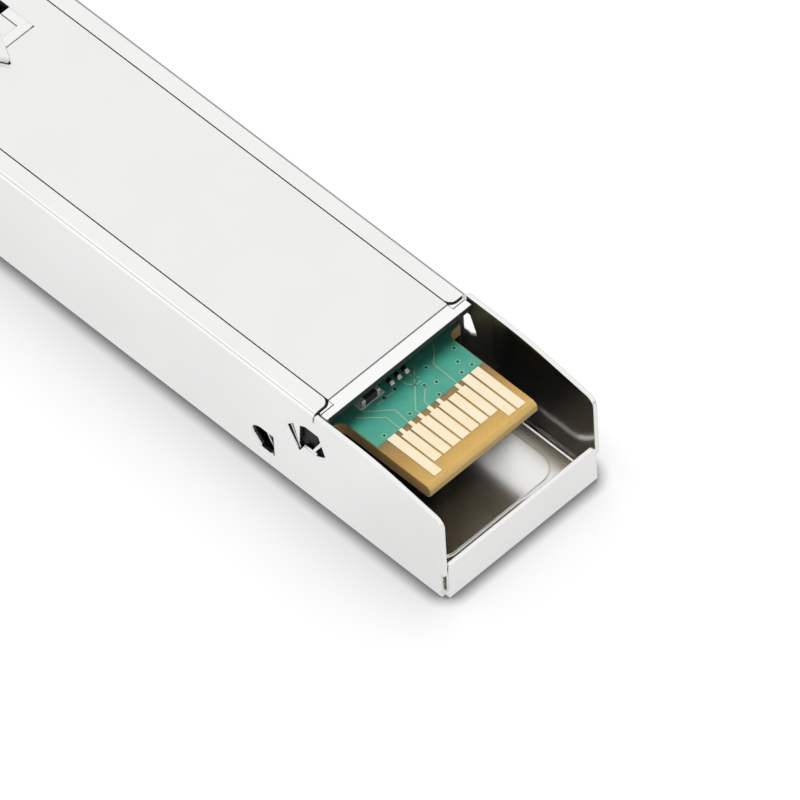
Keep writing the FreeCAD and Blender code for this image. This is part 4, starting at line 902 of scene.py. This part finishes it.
def tile_outline(side):
    """A tile at one side: an arc round the flange's corner, then three straight edges."""
    reach = FLANGE_ROUND + TILE_GAP
    middle = (FLANGE_END - FLANGE_ROUND, FLANGE_EDGE + FLANGE_ROUND)
    first = math.asin((middle[1] - TILE_INNER) / reach)
    front = arc(middle, reach, -first, 0, TILE_STEPS)
    outline = front + [(front[-1][0], TILE_OUTER), (TILE_REAR, TILE_OUTER), (TILE_REAR, TILE_INNER)]
    return [(x, side * y) for x, y in outline]


def soften(piece, width):
    """Round a piece's edges by a width in mm."""
    edges = piece.modifiers.new("soft_edges", "BEVEL")
    edges.width = width * MM
    edges.segments = 2
    edges.limit_method = "ANGLE"


tiles = bmesh.new()
for side in (-1, 1):
    add_slab(tiles, tile_outline(side), TILE_FOOT, TILE_TOP)
soften(add_piece("bar_end_tiles", tiles, zinc_casting, "module"), TILE_SOFT)
print("tiles end at x =", round(TILE_REAR, 2), "mm")

# %% [markdown]
# Round the end of the latch lever lies a guard, a bright plate in two halves that keeps dirt out of the
# recess. The lever and its boss move down between the halves. Each half is a slab with an outline that leaves
# a fine gap to the lever and the boss, and a lower slab that shows as the bright floor of the gap to the
# panel. A narrow rim runs on round the boss's point.

# %% Guard plates at the latch boss
RECESS_HALF = 3.15
LEVER_SIDE = 2.47
GUARD_FRONT, GUARD_ARM = -0.95, 0.51
GUARD_LAYERS = ((8.24, 8.42, 1.19), (8.14, 8.24, 1.15))
BOSS_LENGTH, BOSS_HALF, BOSS_GAP = 2.45, 1.3, 0.1
RIM_FOOT, RIM_TOP = 8.2, 8.44
RIM_FRONT, RIM_BLUNT = 1.35, 2.42
RIM_REACH = (0.1, 0.2)


def guard_outline(side, rear):
    """Half a guard plate: beside the lever, then along the boss's slanted flank to its rear edge."""
    flank = [(x, BOSS_HALF * (1 - x / BOSS_LENGTH) + BOSS_GAP) for x in (GUARD_ARM, rear)]
    outline = [(GUARD_FRONT, LEVER_SIDE), (GUARD_ARM, LEVER_SIDE), *flank, (rear, RECESS_HALF),
               (GUARD_FRONT, RECESS_HALF)]
    return [(x, side * y) for x, y in outline]


def rim_outline():
    """The rim of the boss's notch: a narrow arrowhead round the boss, blunt inside and pointed outside."""
    inner, outer = RIM_REACH
    places = ((RIM_FRONT, outer), (BOSS_LENGTH + outer, outer), (RIM_BLUNT, inner), (RIM_FRONT, inner))
    points = [(x, BOSS_HALF * (1 - (x - reach) / BOSS_LENGTH)) for x, reach in places]
    front, tip, blunt, back = points
    return [front, tip] + [(x, -y) for x, y in (front, back, blunt)] + [blunt, back]


guards = bmesh.new()
add_slab(guards, rim_outline(), RIM_FOOT, RIM_TOP)
for low, high, rear in GUARD_LAYERS:
    for side in (-1, 1):
        add_slab(guards, guard_outline(side, rear), low, high)
add_piece("latch_guards", guards, nickel_bend, "module")
print("guard plates end at x =", GUARD_LAYERS[0][2], "mm")

# %% [markdown]
# The sheet's lower bends are struck tight, so the walls and the flap go down almost square to the floor. The
# CAD model rounds them more. A slender strip under each bend brings its outside to the tight radius: its
# hidden side follows the rounder bend, and its outer side runs on from the wall.

# %% Tight lower bends
TIGHT = 0.13
WALL_BEND = 0.6
FLAP_BEND = 0.45
FLAP_HALF = 6.36
WALL_FOOT = cover_high.x - 0.45
BEND_STEPS = 8
BEND_OVERLAP = 0.02


def bend_profile(reach, bend):
    """The strip's section as distance outwards and height, from the wall round to the floor and back."""
    outside = arc((reach - TIGHT, TIGHT), TIGHT, 0, -RIGHT_ANGLE, BEND_STEPS)
    hidden = arc((reach - bend, bend), bend - BEND_OVERLAP, -RIGHT_ANGLE, 0, BEND_STEPS)
    return [(reach, bend)] + outside + [(reach - bend, 0.0)] + hidden


def add_strip(bm, profile, ends, steps, place):
    """A bar with a section between two stations, smooth over its first steps; place gives x, y, z."""
    loops = [[bm.verts.new(place(station, out, up)) for out, up in profile] for station in ends]
    for loop in loops:
        bm.faces.new(loop)
    for number in range(len(profile)):
        after = (number + 1) % len(profile)
        face = bm.faces.new((loops[0][number], loops[0][after], loops[1][after], loops[1][number]))
        face.smooth = 1 <= number <= steps


bends = bmesh.new()
for side in (-1, 1):
    add_strip(bends, bend_profile(cover_high.y, WALL_BEND), (cover_low.x, WALL_FOOT), BEND_STEPS,
              lambda station, out, up: (station, side * out, up))
add_strip(bends, bend_profile(cover_high.x, FLAP_BEND), (-FLAP_HALF, FLAP_HALF), BEND_STEPS,
          lambda station, out, up: (out, station, up))
add_piece("tight_lower_bends", bends, nickel_bend, "module")
print("lower bends tightened to", TIGHT, "mm")

# %% [markdown]
# The punched side windows show small parts: lips bent in along the lower edges, the blunt ends of the
# casting's rails behind the upper window, slanted ribs of the rail behind the lower window and the slot, and
# on one side a bridge that holds the upper window's rear corner. Each is an upright plate or a rolled strip.

# %% Bent parts in the side windows
WALL = cover_high.y
BRIDGE = ((35.44, 4.6), (35.66, 4.6), (36.50, 6.05), (36.40, 6.33))
RIB = ((30.72, 3.35), (30.88, 3.35), (32.00, 1.15), (31.84, 1.15))
RAIL_END = ((33.25, 3.3), (35.6, 3.3), (35.8, 3.6), (35.8, 7.2), (33.25, 7.2))
SLOT_RIB = ((33.70, 5.80), (33.80, 5.90), (34.49, 4.25), (34.44, 4.05))
LEAF_LIP = ((30.16, 2.75), (30.32, 2.2), (31.0, 1.45), (30.92, 1.3), (30.9, 1.3), (30.15, 2.05))
LIP = (34.88, 35.94)
LIP_FOOT = 4.6
LIP_OUTER = WALL - 0.04
LIP_ROUND = 0.17
LIP_STEPS = 6
RAIL_SOFT = 0.08


def add_upright(bm, outline, start, end, sides=(-1, 1)):
    """A plate in the side walls: an outline in x and z, between two depths under the walls' outside."""
    outer, inner = WALL - start, WALL - end
    for side in sides:
        extrude(bm, [(x, side * outer, z) for x, z in outline], (0, side * (inner - outer), 0))


def add_lip(bm):
    """A quarter of a round bar along the lower edge of the upper window, in both walls."""
    centre = (LIP_OUTER - LIP_ROUND, LIP_FOOT)
    profile = [centre] + arc(centre, LIP_ROUND, 0, RIGHT_ANGLE, LIP_STEPS)
    for side in (-1, 1):
        add_strip(bm, profile, LIP, LIP_STEPS, lambda station, out, up: (station, side * out, up))


bridge, lips, ribs, rail_ends = bmesh.new(), bmesh.new(), bmesh.new(), bmesh.new()
add_upright(bridge, BRIDGE, 0.08, 0.25, sides=(-1,))
add_lip(lips)
add_upright(ribs, RIB, 0.37, 0.6)
add_upright(ribs, SLOT_RIB, 0.12, 0.25)
add_upright(lips, LEAF_LIP, 0.05, 0.28)
add_upright(rail_ends, RAIL_END, 0.38, 0.92)
add_piece("window_bridge", bridge, nickel_sheet, "module")
add_piece("window_lips", lips, nickel_sheet, "module")
# Painted shade: the rail ends are near black, dull and rough.
shaded_rail_skin = grained("rail_ends_painted_shade", ("#262524", "#31302E"), 0.3, (0.5, 0.7), 0.003, Metallic=0.6)
soften(add_piece("rail_ends", rail_ends, shaded_rail_skin, "module"), RAIL_SOFT)
# The ribs are machined bright, beside the painted shade of the rail ends.
machined = grained("machined_zinc", ("#E9E9E8", "#DCDCDB"), 0.2, (0.15, 0.25), 0.0005, Metallic=1.0)
add_piece("rail_ribs", ribs, machined, "module")
print("window parts in both walls, rib from x =", RIB[0][0], "mm")

# %% [markdown]
# A leaf spring under the lever's rear arm keeps the latch boss out. When the bail opens, the arm presses the
# spring flat. A rigid CAD solid can't show that. The leaf is built again as a bent strip of even thickness,
# with a mesh of its own, in place of the rigid CAD solid.

# %% Leaf spring
SPRING_GAUGE = 0.12
SPRING_FOOT = 1.4
SPRING_CURVE = 1.5
spring_low, spring_high = [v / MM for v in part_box("latch_spring")]


def make_spring(steps=14):
    """A flat foot that bends up to a tip, as a strip of even thickness."""
    rise = spring_high.z - spring_low.z - SPRING_GAUGE
    line = [(spring_low.x, 0.0)]
    for step in range(steps + 1):
        part = step / steps
        x = spring_low.x + SPRING_FOOT + part * (spring_high.x - spring_low.x - SPRING_FOOT)
        line.append((x, rise * part ** SPRING_CURVE))
    profile = [(x, spring_low.z + z) for x, z in line]
    profile += [(x, spring_low.z + z + SPRING_GAUGE) for x, z in line[::-1]]
    bm = bmesh.new()
    sides = [[bm.verts.new((x, y, z)) for x, z in profile] for y in (spring_low.y, spring_high.y)]
    count, last = len(line), len(profile) - 1
    for side in sides:
        for number in range(count - 1):
            bm.faces.new((side[number], side[number + 1], side[last - number - 1], side[last - number]))
    for number in range(len(profile)):
        after = (number + 1) % len(profile)
        bm.faces.new((sides[0][number], sides[0][after], sides[1][after], sides[1][number]))
    return add_piece("bent_leaf_spring", bm, finishes["bare_steel"], "module")


spring = make_spring()
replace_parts(spring, "latch_spring")
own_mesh(spring)
print("spring rises", round(spring_high.z - spring_low.z, 3), "mm")
